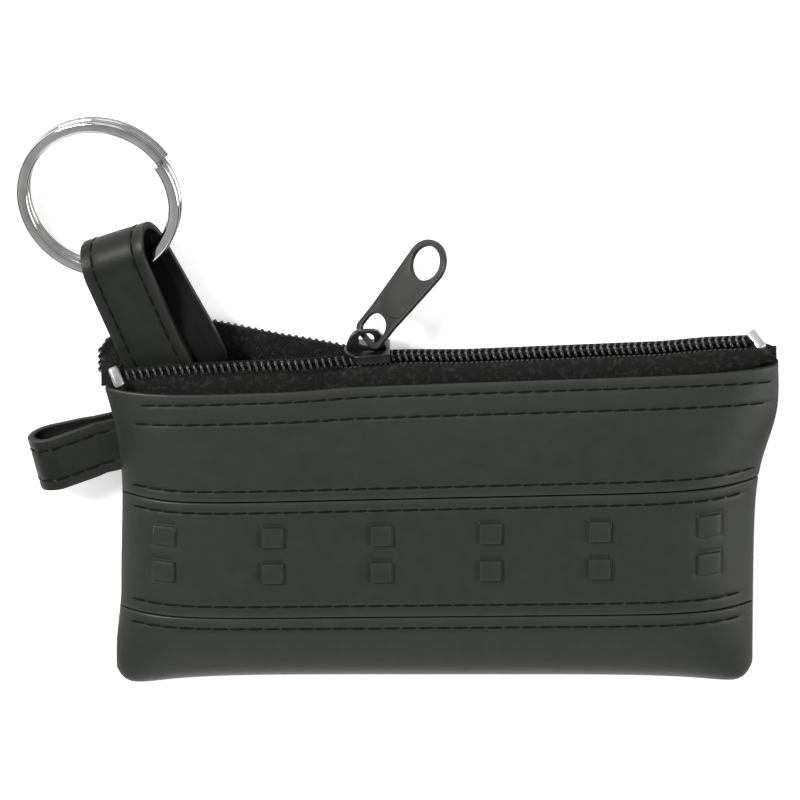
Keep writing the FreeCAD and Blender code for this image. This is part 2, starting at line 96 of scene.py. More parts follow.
def joinAll(pieces, name):
    clearSelection()
    for piece in pieces:
        piece.select_set(True)
    bpy.context.view_layer.objects.active = pieces[0]
    if len(pieces) > 1:
        bpy.ops.object.join()
    joined = bpy.context.view_layer.objects.active
    joined.name = name
    joined.data.name = name
    return joined


def dress(piece, finish, slotName, body, *replaced):
    piece.data.materials.clear()
    piece.data.materials.append(finish)
    if body:
        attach(piece, body)
    if replaced:
        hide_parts(*replaced)


def pointMark(piece, name):
    return piece.data.attributes.new(name, "FLOAT", "POINT")


def paintSideShade(piece, axis):
    # how far each point faces sideways from the axis: there the metal gets painted shade
    sides = pointMark(piece, "sides")
    for vert in piece.data.vertices:
        sides.data[vert.index].value = 1 - abs(vert.normal.dot(axis))


# small maths
def clamp(value):
    return max(0.0, min(1.0, value))


def smooth(value):
    t = clamp(value)
    return t * t * (3 - 2 * t)


def steps(start, end, count):
    return [start + (end - start) * i / (count - 1) for i in range(count)]


def bell(distance, width):
    return math.exp(-(distance / width) ** 2)


def spaced(values, gap=0.04):
    # in order, with none closer together than the gap
    ordered = sorted(values)
    kept = [ordered[0]]
    for value in ordered[1:-1]:
        if value - kept[-1] > gap and ordered[-1] - value > gap:
            kept.append(value)
    return kept + [ordered[-1]]


def stations(start, end, step, marks, fine):
    # even steps, with finer ones beside each mark
    values = set(steps(start, end, max(2, int((end - start) / step) + 1)))
    for mark in marks:
        values.update(mark + offset for offset in fine if start < mark + offset < end)
    return values


# sheets: a grid primitive whose points are set on a surface, with relief along its normals
def surfaceNormals(points):
    columns = len(points)
    rows = len(points[0])
    normals = []
    for i in range(columns):
        line = []
        for j in range(rows):
            across = points[min(i + 1, columns - 1)][j] - points[max(i - 1, 0)][j]
            along = points[i][min(j + 1, rows - 1)] - points[i][max(j - 1, 0)]
            line.append(across.cross(along).normalized())
        normals.append(line)
    return normals


def walk(places):
    lengths = [0.0]
    for a, b in zip(places[:-1], places[1:]):
        lengths.append(lengths[-1] + (b - a).length)
    return lengths


def sheetPiece(name, points, relief=None, wear=None):
    columns = len(points) - 1
    rows = len(points[0]) - 1
    normals = surfaceNormals(points)
    across = walk([line[rows // 2] for line in points])
    along = walk(points[columns // 2])
    print(name, "lies flat at", round(across[-1], 1), "by", round(along[-1], 1), "mm")
    clearSelection()
    bpy.ops.mesh.primitive_grid_add(x_subdivisions=columns, y_subdivisions=rows, size=2)
    piece = bpy.context.object
    piece.name = name
    piece.data.name = name
    marks = {mark: pointMark(piece, mark) for mark in ("wear", "across", "along")}
    for vert in piece.data.vertices:
        i = round((vert.co.x + 1) / 2 * columns)
        j = round((vert.co.y + 1) / 2 * rows)
        height = relief(i, j) if relief else 0.0
        vert.co = (points[i][j] + normals[i][j] * height) * mm
        marks["wear"].data[vert.index].value = wear(i, j) if wear else 0.0
        marks["across"].data[vert.index].value = across[i]
        marks["along"].data[vert.index].value = along[j]
    return piece


def rolled(distance, radius):
    # how far a turned edge drops away, this far in from the edge
    if distance >= radius:
        return 0.0
    share = 1 - max(0.0, distance) / radius
    return -radius * (1 - math.sqrt(max(0.0, 1 - share * share)))


# tubes and threads
def curvePiece(name, runs, closed, settings):
    # lines drawn as one curve, then made a mesh
    curve = bpy.data.curves.new(name, "CURVE")
    for setting, value in settings.items():
        setattr(curve, setting, value)
    for run in runs:
        spline = curve.splines.new("POLY")
        spline.points.add(len(run) - 1)
        spline.use_cyclic_u = closed
        for point, place in zip(spline.points, run):
            point.co = (place[0] * mm, place[1] * mm, place[2] * mm, 1)
    piece = bpy.data.objects.new(name, curve)
    bpy.context.collection.objects.link(piece)
    pickOnly(piece)
    bpy.ops.object.convert(target="MESH")
    return bpy.context.object


def tubePiece(name, runs, radius):
    settings = {"dimensions": "3D", "bevel_depth": radius * mm, "bevel_resolution": 1, "use_fill_caps": True}
    return curvePiece(name, runs, False, settings)


def stitchShape(length, radius):
    clearSelection()
    bpy.ops.mesh.primitive_uv_sphere_add(segments=8, ring_count=6, radius=1)
    shape = bpy.context.object
    bpy.ops.object.mode_set(mode="EDIT")
    bpy.ops.mesh.select_all(action="SELECT")
    bpy.ops.transform.rotate(value=math.pi / 2, orient_axis="Y", center_override=(0, 0, 0))
    bpy.ops.transform.resize(value=(length / 2, radius, radius), center_override=(0, 0, 0))
    bpy.ops.object.mode_set(mode="OBJECT")
    verts = [vert.co.copy() for vert in shape.data.vertices]
    faces = [tuple(face.vertices) for face in shape.data.polygons]
    bpy.data.objects.remove(shape)
    return verts, faces


def threadPiece(name, lines, thread):
    # each line is a list of (place, normal) along a seam; the stitches lie end to end on it
    shape, shapeFaces = stitchShape(thread["stitch"], thread["radius"])
    verts = []
    faces = []
    for line in lines:
        walked = 0.0
        due = thread["pitch"] / 2
        for (a, normal), (b, other) in zip(line[:-1], line[1:]):
            length = (b - a).length
            while due <= walked + length and length > 0:
                share = (due - walked) / length
                along = (b - a).normalized()
                up = normal.lerp(other, share)
                up = (up - along * up.dot(along)).normalized()
                side = up.cross(along)
                place = a.lerp(b, share) + up * thread["lift"]
                turn = Matrix((along, side, up)).transposed()
                slant = Matrix.Rotation(math.radians(thread["slant"]), 3, "Z")
                base = len(verts)
                verts += [(place + turn @ (slant @ point)) * mm for point in shape]
                faces += [tuple(base + corner for corner in face) for face in shapeFaces]
                due += thread["pitch"]
            walked += length
    mesh = bpy.data.meshes.new(name)
    mesh.from_pydata(verts, [], faces)
    piece = bpy.data.objects.new(name, mesh)
    bpy.context.collection.objects.link(piece)
    faceOutwards(piece)
    smoothShade(piece, "thread")
    return piece


# shader maths: a wrapped socket takes part in ordinary expressions
class Wire:
    def __init__(self, finish, socket):
        self.finish = finish
        self.socket = socket

    def maths(self, operation, first, second):
        return self.finish.node("ShaderNodeMath", {"operation": operation}, {0: first, 1: second})

    def __add__(self, other):
        return self.maths("ADD", self, other)

    def __radd__(self, other):
        return self.maths("ADD", other, self)

    def __sub__(self, other):
        return self.maths("SUBTRACT", self, other)

    def __rsub__(self, other):
        return self.maths("SUBTRACT", other, self)

    def __mul__(self, other):
        return self.maths("MULTIPLY", self, other)

    def __rmul__(self, other):
        return self.maths("MULTIPLY", other, self)

    def sine(self):
        return self.finish.node("ShaderNodeMath", {"operation": "SINE"}, {0: self})


class Finish:
    def __init__(self, name):
        self.material = bpy.data.materials.new(name)
        self.material.use_nodes = True
        self.tree = self.material.node_tree
        self.shader = self.tree.nodes["Principled BSDF"]

    def node(self, kind, settings=None, inputs=None, output=0):
        made = self.tree.nodes.new(kind)
        for name, value in (settings or {}).items():
            if name == "stops":
                self.setStops(made.color_ramp, value)
            else:
                setattr(made, name, value)
        for name, value in (inputs or {}).items():
            self.feed(made.inputs[name], value)
        return Wire(self, made.outputs[output])

    def setStops(self, ramp, stops):
        while len(ramp.elements) < len(stops):
            ramp.elements.new(0.5)
        for element, (position, grey) in zip(ramp.elements, stops):
            element.position = position
            element.color = (grey, grey, grey, 1)

    def feed(self, socket, value):
        if isinstance(value, Wire):
            self.tree.links.new(value.socket, socket)
        else:
            socket.default_value = value

    def surface(self, **values):
        for name, value in values.items():
            self.feed(self.shader.inputs[name.replace("_", " ")], value)

    def place(self):
        return self.node("ShaderNodeTexCoord", None, None, "Object")

    def noise(self, scale, detail, rough):
        inputs = {"Vector": self.place(), "Scale": scale, "Detail": detail, "Roughness": rough}
        return self.node("ShaderNodeTexNoise", None, inputs)

    def cells(self, scale):
        inputs = {"Vector": self.place(), "Scale": scale}
        return self.node("ShaderNodeTexVoronoi", {"feature": "F1"}, inputs)

    def ramp(self, value, stops):
        return self.node("ShaderNodeValToRGB", {"stops": stops}, {"Fac": value})

    def mixColour(self, share, first, second):
        settings = {"data_type": "RGBA"}
        inputs = {0: share, 6: (*first, 1) if isinstance(first, tuple) else first,
                  7: (*second, 1) if isinstance(second, tuple) else second}
        return self.node("ShaderNodeMix", settings, inputs, 2)

    def attribute(self, name):
        return self.node("ShaderNodeAttribute", {"attribute_name": name}, None, "Fac")

    def bump(self, height, strength, distance, below=None):
        inputs = {"Strength": strength, "Distance": distance, "Height": height}
        if below:
            inputs["Normal"] = below
        return self.node("ShaderNodeBump", None, inputs)


# coated leather: smooth and semi-matte, a fine pressed grain, paler where edges are rubbed, with painted
# shade on the inner faces of folded strips
leatherLook = {
    "case": {"dark": (0.0140, 0.0163, 0.0122), "pale": (0.0166, 0.0191, 0.0146),
             "worn": (0.026, 0.028, 0.0235), "shine": 0.30},
    "strap": {"dark": (0.0090, 0.0104, 0.0080), "pale": (0.0114, 0.0128, 0.0102),
              "worn": (0.018, 0.0195, 0.0165), "shine": 0.17},
    # painted shade: the near-black colour of a strip's inner face, between its folded layers
    "inner": (0.0022, 0.0022, 0.0020),
    "grainScale": 2600, "poreScale": 1500, "waveScale": 55, "mottleScale": 320,
    "wornStops": [(0.3, 0.45), (0.7, 1.0)], "toneStops": [(0.35, 0.0), (0.65, 1.0)],
    "roughness": 0.47, "grainSpread": 0.16, "waveSpread": 0.05, "wornGloss": 0.07, "innerShadeMatt": 0.35,
    "waveBump": (0.10, 0.0006), "grainBump": (0.16, 0.00012),
}


def leatherFinish(name, tones):
    finish = Finish(name)
    look = leatherLook
    grain = finish.noise(look["grainScale"], detail=4, rough=0.6)
    pores = finish.cells(look["poreScale"])
    waves = finish.noise(look["waveScale"], detail=2, rough=0.5)
    mottle = finish.noise(look["mottleScale"], detail=3, rough=0.55)
    worn = finish.attribute("wear") * finish.ramp(mottle, look["wornStops"])
    colour = finish.mixColour(finish.ramp(mottle, look["toneStops"]), tones["dark"], tones["pale"])
    # painted shade on the inner faces, made darker and more matt
    inner = finish.attribute("inner")
    colour = finish.mixColour(worn, colour, tones["worn"])
    colour = finish.mixColour(inner, colour, look["inner"])
    roughness = look["roughness"] + (grain - 0.5) * look["grainSpread"] + (waves - 0.5) * look["waveSpread"]
    roughness = roughness - worn * look["wornGloss"] + inner * look["innerShadeMatt"]
    relief = finish.bump(waves, *look["waveBump"])
    relief = finish.bump(pores * 0.5 + grain * 0.5, *look["grainBump"], relief)
    finish.surface(Base_Color=colour, Roughness=roughness, Normal=relief, Specular_IOR_Level=tones["shine"])
    return finish.material


caseLeather = leatherFinish("caseLeather", leatherLook["case"])
strapLeather = leatherFinish("strapLeather", leatherLook["strap"])

# woven cloth: warp and weft waves along the piece's own length and width
clothLook = {
    "tape": {"dark": (0.0035, 0.0035, 0.0033), "pale": (0.0200, 0.0202, 0.0190), "yarn": 0.62},
    "lining": {"dark": (0.0015, 0.0015, 0.0015), "pale": (0.005, 0.005, 0.005), "yarn": 0.36},
    "fuzzScale": 2200, "fleckScale": 1100, "fleckStops": [(0.50, 0.0), (0.66, 1.0)],
    "tone": {"weave": 0.35, "fuzz": 0.15, "flecks": 0.6},
    "height": {"weave": 0.6, "fuzz": 0.3, "flecks": 0.5},
    "bump": (0.8, 0.00018), "roughness": 0.82, "fuzzSpread": 0.12, "shine": 0.15,
}


def clothFinish(name, look):
    finish = Finish(name)
    turns = 2 * math.pi / look["yarn"]
    warp = (finish.attribute("along") * turns).sine()
    weft = (finish.attribute("across") * turns).sine()
    weave = warp * weft * 0.5 + 0.5
    fuzz = finish.noise(clothLook["fuzzScale"], detail=4, rough=0.6)
    flecks = finish.ramp(finish.noise(clothLook["fleckScale"], detail=2, rough=0.5), clothLook["fleckStops"])

    def blended(shares):
        return weave * shares["weave"] + fuzz * shares["fuzz"] + flecks * shares["flecks"]

    colour = finish.mixColour(blended(clothLook["tone"]), look["dark"], look["pale"])
    relief = finish.bump(blended(clothLook["height"]), *clothLook["bump"])
    roughness = clothLook["roughness"] + fuzz * clothLook["fuzzSpread"]
    finish.surface(Base_Color=colour, Roughness=roughness, Normal=relief)
    finish.surface(Specular_IOR_Level=clothLook["shine"])
    return finish.material


tapeCloth = clothFinish("tapeCloth", clothLook["tape"])
liningCloth = clothFinish("liningCloth", clothLook["lining"])


# thread and nylon wire: one fine noise gives the tone, the gloss and the relief
yarnLook = {
    "seam": {"dark": (0.0014, 0.0014, 0.0013), "pale": (0.0045, 0.0045, 0.0042), "scale": 5200, "detail": 2,
             "rough": 0.6, "bump": (0.5, 0.0001), "roughness": 0.62, "spread": 0.2, "shine": 0.12},
    "zip": {"dark": (0.018, 0.018, 0.0175), "pale": (0.060, 0.060, 0.057), "scale": 5200, "detail": 2,
            "rough": 0.6, "bump": (0.5, 0.0001), "roughness": 0.62, "spread": 0.2, "shine": 0.35},
    "coil": {"dark": (0.010, 0.010, 0.010), "pale": (0.022, 0.022, 0.021), "scale": 1800, "detail": 3,
             "rough": 0.5, "bump": (0.2, 0.00008), "roughness": 0.30, "spread": 0.14, "shine": 0.5},
}


def yarnFinish(name, look):
    finish = Finish(name)
    twist = finish.noise(look["scale"], look["detail"], look["rough"])
    colour = finish.mixColour(twist, look["dark"], look["pale"])
    relief = finish.bump(twist, *look["bump"])
    roughness = look["roughness"] + twist * look["spread"]
    finish.surface(Base_Color=colour, Roughness=roughness, Normal=relief, Specular_IOR_Level=look["shine"])
    return finish.material


seamThread = yarnFinish("seamThread", yarnLook["seam"])
zipThread = yarnFinish("zipThread", yarnLook["zip"])
coilNylon = yarnFinish("coilNylon", yarnLook["coil"])

# plated or lacquered metal, clouded and nicked a little, with painted shade on the sides that a piece marks
metalLook = {
    "chrome": {"dark": (0.44, 0.44, 0.43), "pale": (0.60, 0.60, 0.59),
               "sideShade": (0.045, 0.045, 0.045), "roughness": 0.11, "spread": 0.06, "nicks": 1900,
               "depth": 0.015, "metal": 1.0, "coat": 0.0, "shine": 0.5},
    "stop": {"dark": (0.34, 0.34, 0.33), "pale": (0.46, 0.46, 0.45),
             "sideShade": (0.20, 0.20, 0.20), "roughness": 0.42, "spread": 0.16, "nicks": 2300,
             "depth": 0.20, "metal": 1.0, "coat": 0.0, "shine": 0.5},
    "slider": {"dark": (0.003, 0.003, 0.003), "pale": (0.007, 0.007, 0.0066),
               "sideShade": (0.002, 0.002, 0.002), "roughness": 0.30, "spread": 0.14, "nicks": 2100,
               "depth": 0.10, "metal": 0.0, "coat": 0.1, "shine": 0.3},
    "pull": {"dark": (0.012, 0.012, 0.011), "pale": (0.020, 0.020, 0.018),
             "sideShade": (0.008, 0.008, 0.008), "roughness": 0.44, "spread": 0.18, "nicks": 1700,
             "depth": 0.12, "metal": 0.3, "coat": 0.08, "shine": 0.35},
    "cloudShare": 9, "cloudStops": [(0.3, 0.0), (0.7, 1.0)], "sideShadeStops": [(0.45, 0.0), (0.85, 1.0)],
    "nickDepth": 0.00006, "coatRoughness": 0.12,
}


def metalFinish(name, look):
    finish = Finish(name)
    nicks = finish.noise(look["nicks"], detail=5, rough=0.65)
    clouds = finish.noise(look["nicks"] / metalLook["cloudShare"], detail=2, rough=0.5)
    colour = finish.mixColour(finish.ramp(clouds, metalLook["cloudStops"]), look["dark"], look["pale"])
    # painted shade: the colour turns dark where the surface faces sideways
    sides = finish.ramp(finish.attribute("sides"), metalLook["sideShadeStops"])
    colour = finish.mixColour(sides, colour, look["sideShade"])
    roughness = look["roughness"] + (nicks - 0.5) * look["spread"] + (clouds - 0.5) * look["spread"]
    relief = finish.bump(nicks, look["depth"], metalLook["nickDepth"])
    finish.surface(Base_Color=colour, Roughness=roughness, Normal=relief, Metallic=look["metal"])
    finish.surface(Specular_IOR_Level=look["shine"])
    if look["coat"]:
        finish.surface(Coat_Weight=look["coat"], Coat_Roughness=metalLook["coatRoughness"])
    return finish.material


ringChrome = metalFinish("ringChrome", metalLook["chrome"])
stopMetal = metalFinish("stopMetal", metalLook["stop"])
sliderLacquer = metalFinish("sliderLacquer", metalLook["slider"])
pullLacquer = metalFinish("pullLacquer", metalLook["pull"])
print("finishes made")


# the pouch: u runs from -1 at the left seam to 1 at the right seam
case = {
    "halfWidth": 56.4, "topFlare": 3.2, "flarePower": 4, "foldY": -29.9, "crownY": 5.0, "topY": 28.1,
    "topTilt": 2.2, "frontHeight": 12.5, "seamZ": 4.0, "wall": 1.2, "seamGap": 0.2, "sidePower": 9,
    "earDrop": 2.4, "earPower": 6, "cornerRound": 5.0, "cornerPower": 40, "flatDepth": 0.3,
    "topDrop": 3.5, "mouthLift": 1.6, "mouthRight": -11.5, "mouthRun": 16.0, "backTopRise": 1.0,
    "upperSeamY": 7.4, "lowerSeamY": -15.8, "leather": 1.05, "sideRoll": 0.3, "topRoll": 0.4,
    "seamRoll": 0.34, "rightBulge": 2.4, "bulgeY": 20.0, "bulgeRun": 9.0, "bulgePower": 3,
    "leftPinch": 1.0, "pinchY": 14.0, "pinchRun": 15.0, "leftSpread": 0.9, "spreadY": -13.0,
    "spreadRun": 13.0, "leftEar": 0.35, "rubIn": 0.35, "rubWidth": 0.5,
}
# mesh steps, with closer ones in from the side seams and the edges, and about rows of stitches and squares
meshSteps = {
    "across": 0.9, "front": 0.75, "back": 1.3,
    "side": [0.0, 0.1, 0.2, 0.32, 0.46, 0.62, 0.8, 1.0, 1.3],
    "edge": [0.0, 0.06, 0.14, 0.24, 0.36, 0.5, 0.66, 0.85, 1.1],
    "row": [0.0, 0.18, -0.18, 0.36, -0.36, 0.55, -0.55, 0.8, -0.8, 1.1, -0.98, -1.18, -1.4],
    "square": [0.0, 0.09, -0.09, 0.18, -0.18, 0.3, -0.3, 0.5, -0.5],
}
edgeHalf = case["wall"] + case["seamGap"] / 2
topSpan = case["topY"] - case["foldY"]


def halfWidth(y):
    return case["halfWidth"] + case["topFlare"] * clamp((y - case["foldY"]) / topSpan) ** case["flarePower"]


def sideShare(u):
    return 1 - abs(u) ** case["sidePower"]


def foldLine(u):
    ear = case["earDrop"] * abs(u) ** case["earPower"] * (1 + case["leftEar"] * max(0.0, -u))
    return case["foldY"] - ear + case["cornerRound"] * abs(u) ** case["cornerPower"]


def mouthOpen(x):
    return smooth((case["mouthRight"] - x) / case["mouthRun"])


def lowShare(u, y, inset):
    # how much of its depth the case still has this close to the fold, on a squarish round
    reach = case["crownY"] - foldLine(u) - inset
    return math.sqrt(1 - clamp((case["crownY"] - y) / reach) ** 4)


def frontZ(u, y, inset):
    rise = edgeHalf + (case["frontHeight"] - case["seamZ"] - edgeHalf) * sideShare(u) - inset
    topShare = max(0.0, (y - case["crownY"]) / (case["topY"] - case["crownY"]))
    lift = case["mouthLift"] * mouthOpen(u * halfWidth(y))
    drop = (case["topDrop"] - lift) * sideShare(u) * topShare ** 2
    return case["seamZ"] + rise * lowShare(u, y, inset) - drop


def backZ(u, y, inset):
    fall = edgeHalf + (case["seamZ"] + case["flatDepth"] - edgeHalf) * sideShare(u) - inset
    return max(0.0, case["seamZ"] - fall * lowShare(u, y, inset))


def sideBulge(u, y):
    right = case["rightBulge"] * bell(y - case["bulgeY"], case["bulgeRun"])
    left = case["leftPinch"] * bell(y - case["pinchY"], case["pinchRun"])
    left -= case["leftSpread"] * smooth((case["spreadY"] - y) / case["spreadRun"])
    return (right if u > 0 else left) * abs(u) ** case["bulgePower"]


def onCase(u, y, z):
    tilt = case["topTilt"] * u * (y - case["foldY"]) / topSpan
    return Vector((u * halfWidth(y) + sideBulge(u, y), y + tilt, z))


def frontPoints(us, ys):
    return [[onCase(u, y, frontZ(u, y, 0.0)) for y in ys] for u in us]


def seamDistance(u):
    return (1 - abs(u)) * case["halfWidth"]


def edgeRub(distance):
    # leather is rubbed pale a little way in from an edge
    return bell(distance - case["rubIn"], case["rubWidth"])


def panelStations(marks=(), fine=()):
    # places across the case, closer together at both side seams
    reach = case["halfWidth"]
    xs = stations(-reach, reach, meshSteps["across"], marks, fine)
    xs |= {side * (reach - c) for c in meshSteps["side"] for side in (-1, 1)}
    return [x / reach for x in spaced(xs)]


# sewing: two rows of topstitch below the zip, one on each side of both band seams
sewing = {
    "stitch": 2.95, "pitch": 3.05, "radius": 0.19, "lift": 0.03, "slant": 2.0, "groove": 0.17, "width": 0.42,
    "seat": 0.75, "pull": 0.18, "probe": 0.2, "samples": 160, "ends": 0.962, "endSag": 1.2, "fade": 0.02,
    "zipRows": (1.9, 5.6), "zipEnds": ((-0.90, 0.972), (-0.93, 0.972)),
    "upperRows": (2.15, -2.1), "lowerRows": (2.4, -2.2),
}
zipRows = [case["topY"] - drop for drop in sewing["zipRows"]]
zipRowEnds = dict(zip(zipRows, sewing["zipEnds"]))
upperSeamRows = [case["upperSeamY"] + away for away in sewing["upperRows"]]
lowerSeamRows = [case["lowerSeamY"] + away for away in sewing["lowerRows"]]
rowsAt = {
    "upper": zipRows + upperSeamRows[:1],
    "band": upperSeamRows[1:] + lowerSeamRows[:1],
    "lower": lowerSeamRows[1:],
}


def rowEnds(row):
    return zipRowEnds.get(row, (-sewing["ends"], sewing["ends"]))


def rowY(row, u):
    # the rows below the zip run straight out to the sides
    return row - sewing["endSag"] * abs(u) ** case["sidePower"] if row in zipRowEnds else row


def grooves(rows, y, u):
    # thread pulls the leather down, deepest where the needle went through
    sink = 0.0
    for row in rows:
        left, right = rowEnds(row)
        sewn = smooth((u - left) / sewing["fade"] + 0.5) * smooth((right - u) / sewing["fade"] + 0.5)
        needle = math.cos(2 * math.pi * u * case["halfWidth"] / sewing["pitch"])
        pull = 1 - sewing["pull"] + sewing["pull"] * needle
        sink += sewing["groove"] * sewn * pull * bell(y - rowY(row, u), sewing["width"])
    return sink


def sunkLine(points):
    # the middle of three rows of points, seated in the groove, with the way up at each place
    sunk = sewing["groove"] * sewing["seat"]
    middle = [(line[1], normal[1]) for line, normal in zip(points, surfaceNormals(points))]
    return [(place - normal * sunk, normal) for place, normal in middle]


def frontLine(row):
    probe = sewing["probe"]
    us = steps(*rowEnds(row), sewing["samples"])
    return sunkLine([frontPoints([u], [rowY(row, u) + off for off in (-probe, 0.0, probe)])[0] for u in us])


def frontPanel(name, low, high, rows, rolls, lift=None, marks=(), fine=(), extraYs=()):
    us = panelStations(marks, fine)
    ys = stations(low, high, meshSteps["front"], rows, meshSteps["row"])
    ys |= {low + c for c in meshSteps["edge"]}
    ys |= {high - c for c in meshSteps["edge"]}
    ys = spaced(ys | set(extraYs))
    points = frontPoints(us, ys)

    def relief(i, j):
        height = rolled(seamDistance(us[i]), case["sideRoll"]) + rolled(ys[j] - low, rolls[0])
        height += rolled(high - ys[j], rolls[1]) - grooves(rows, ys[j], us[i])
        if lift:
            height += lift(us[i] * halfWidth(ys[j]), ys[j])
        return height

    def wear(i, j):
        rub = edgeRub(min(ys[j] - low, high - ys[j], seamDistance(us[i])))
        if lift:
            rub = max(rub, lift.rub(us[i] * halfWidth(ys[j]), ys[j]))
        return rub

    piece = sheetPiece(name, points, relief, wear)
    thicken(piece, case["leather"])
    return piece


# raised squares pressed into the band, with a shallow moat round each and a rubbed rim
squareValues = {
    "side": 3.9, "rise": 0.58, "slope": 0.22, "pitch": 19.4, "columns": 6, "rowDrop": 6.8, "rowPitch": 7.1,
    "shift": -0.25, "moat": 0.10, "moatOut": 0.25, "moatWidth": 0.35,
    "rub": 0.7, "rubIn": 0.22, "rubWidth": 0.22,
}


class RaisedSquares:
    def __init__(self, values):
        self.values = values
        first = values["shift"] - values["pitch"] * (values["columns"] - 1) / 2
        self.xs = [first + column * values["pitch"] for column in range(values["columns"])]
        top = case["upperSeamY"] - values["rowDrop"]
        self.ys = [top, top - values["rowPitch"]]
        self.half = values["side"] / 2

    def inside(self, x, y):
        # distance in from the nearest square's edge, negative outside it
        return max(self.half - max(abs(x - cx), abs(y - cy)) for cx in self.xs for cy in self.ys)

    def __call__(self, x, y):
        depth = self.inside(x, y)
        moat = self.values["moat"] * bell(depth + self.values["moatOut"], self.values["moatWidth"])
        return self.values["rise"] * smooth(depth / self.values["slope"] + 0.5) - moat

    def rub(self, x, y):
        return self.values["rub"] * bell(self.inside(x, y) - self.values["rubIn"], self.values["rubWidth"])

    def marks(self, centres):
        return [c + side * self.half for c in centres for side in (-1, 1)]


squares = RaisedSquares(squareValues)
gapHalf = case["seamGap"] / 2

upperPanel = frontPanel("upperPanel", case["upperSeamY"] + gapHalf, case["topY"], rowsAt["upper"],
                        (case["seamRoll"], case["topRoll"]))
dress(upperPanel, caseLeather, "case_leather", "pouch", "front_upper_panel")

squareYs = [y + f for y in squares.marks(squares.ys) for f in meshSteps["square"]]
bandPanel = frontPanel("bandPanel", case["lowerSeamY"] + gapHalf, case["upperSeamY"] - gapHalf,
                       rowsAt["band"], (case["seamRoll"], case["seamRoll"]), squares,
                       squares.marks(squares.xs), meshSteps["square"], squareYs)
dress(bandPanel, caseLeather, "case_leather", "pouch", "front_band")
print("front panels made")


# the lower front, the bottom fold and the back are one piece of leather, from the back's top edge round
wrap = {"turnY": -23.0, "turnSteps": 30, "backRows": (1.9, 5.6), "cornerPower": 20, "cornerRun": 4,
        "foldRub": 0.35, "foldWidth": 0.3, "cornerRub": 0.5, "cornerWidth": 0.35}
wrapFrontEdge = case["lowerSeamY"] - gapHalf
wrapBackEdge = case["topY"] + case["backTopRise"]
backRows = [wrapBackEdge - drop for drop in wrap["backRows"]]


def wrapPoint(u, step, inset):
    kind, value = step
    if kind == "back":
        fall = smooth((value - case["topY"] + wrap["cornerRun"]) / wrap["cornerRun"])
        y = value - case["backTopRise"] * abs(u) ** wrap["cornerPower"] * fall
        return onCase(u, y, backZ(u, y, inset))
    if kind == "front":
        return onCase(u, value, frontZ(u, value, inset))
    # the fold is stepped evenly round the same squarish curve
    reach = case["crownY"] - foldLine(u) - inset
    first = math.asin(clamp((case["crownY"] - wrap["turnY"]) / reach) ** 2)
    angle = first + (math.pi - 2 * first) * value
    y = case["crownY"] - reach * math.sqrt(math.sin(angle))
    depth = frontZ(u, y, inset) if value > 0.5 else backZ(u, y, inset)
    return onCase(u, y, depth)


def wrapPanel():
    us = panelStations()
    backYs = stations(wrap["turnY"], wrapBackEdge, meshSteps["back"], backRows, meshSteps["row"])
    backYs |= {wrapBackEdge - c for c in meshSteps["edge"]}
    frontYs = stations(wrap["turnY"], wrapFrontEdge, meshSteps["front"], rowsAt["lower"], meshSteps["row"])
    frontYs |= {wrapFrontEdge - c for c in meshSteps["edge"]}
    profile = [("back", y) for y in reversed(spaced(backYs))]
    profile += [("turn", share) for share in steps(0, 1, wrap["turnSteps"])[1:-1]]
    profile += [("front", y) for y in spaced(frontYs)]
    points = [[wrapPoint(u, step, 0.0) for step in profile] for u in us]

    def edgeDistance(step):
        kind, value = step
        if kind == "turn":
            return math.inf
        return wrapBackEdge - value if kind == "back" else wrapFrontEdge - value

    def relief(i, j):
        kind, value = profile[j]
        rows = {"back": backRows, "front": rowsAt["lower"], "turn": []}[kind]
        height = rolled(seamDistance(us[i]), case["sideRoll"]) - grooves(rows, value, us[i])
        return height + rolled(edgeDistance(profile[j]), case["seamRoll"])

    def wear(i, j):
        kind, value = profile[j]
        rub = edgeRub(min(edgeDistance(profile[j]), seamDistance(us[i])))
        if kind != "turn":
            return rub
        middle = value - 0.5
        bottom = wrap["foldRub"] * bell(middle, wrap["foldWidth"])
        corner = wrap["cornerRub"] * bell(middle, wrap["cornerWidth"]) * abs(us[i]) ** wrap["cornerPower"]
        return max(bottom, corner, rub)

    piece = sheetPiece("wrapPanel", points, relief, wear)
    for vert in piece.data.vertices:
        vert.co.z = max(vert.co.z, 0.0)
    thicken(piece, case["leather"])
    return piece


lowerPanel = wrapPanel()
dress(lowerPanel, caseLeather, "case_leather", "pouch", "wrap_panel")

# seam threads of the pouch
frontRows = rowsAt["upper"] + rowsAt["band"] + rowsAt["lower"]
frontThread = threadPiece("frontThread", [frontLine(row) for row in frontRows], sewing)
dress(frontThread, seamThread, "zip_cord", "pouch")


def backLine(row):
    probe = sewing["probe"]
    us = steps(-sewing["ends"], sewing["ends"], sewing["samples"])
    return sunkLine([[wrapPoint(u, ("back", y), 0.0) for y in (row + probe, row, row - probe)] for u in us])


backThread = threadPiece("backThread", [backLine(row) for row in backRows], sewing)
dress(backThread, seamThread, "zip_cord", "pouch")

# the lining hangs inside the leather, open at the top
liningValues = {"inset": 1.95, "thickness": 0.4, "reach": 0.93, "topY": 22.0,
                "columns": 64, "wallSteps": 30, "turnSteps": 20}


def liningPiece():
    columns = liningValues["columns"]
    us = [liningValues["reach"] * math.sin(math.pi * (i / columns - 0.5)) for i in range(columns + 1)]
    wallYs = steps(liningValues["topY"], wrap["turnY"], liningValues["wallSteps"])
    profile = [("back", y) for y in wallYs]
    profile += [("turn", share) for share in steps(0, 1, liningValues["turnSteps"])[1:-1]]
    profile += [("front", y) for y in reversed(wallYs)]
    points = [[wrapPoint(u, step, liningValues["inset"]) for step in profile] for u in us]
    piece = sheetPiece("clothLining", points)
    thicken(piece, liningValues["thickness"])
    return piece


lining = liningPiece()
dress(lining, liningCloth, "lining_cloth", "pouch", "lining")
print("wrap panel, lining and threads made")


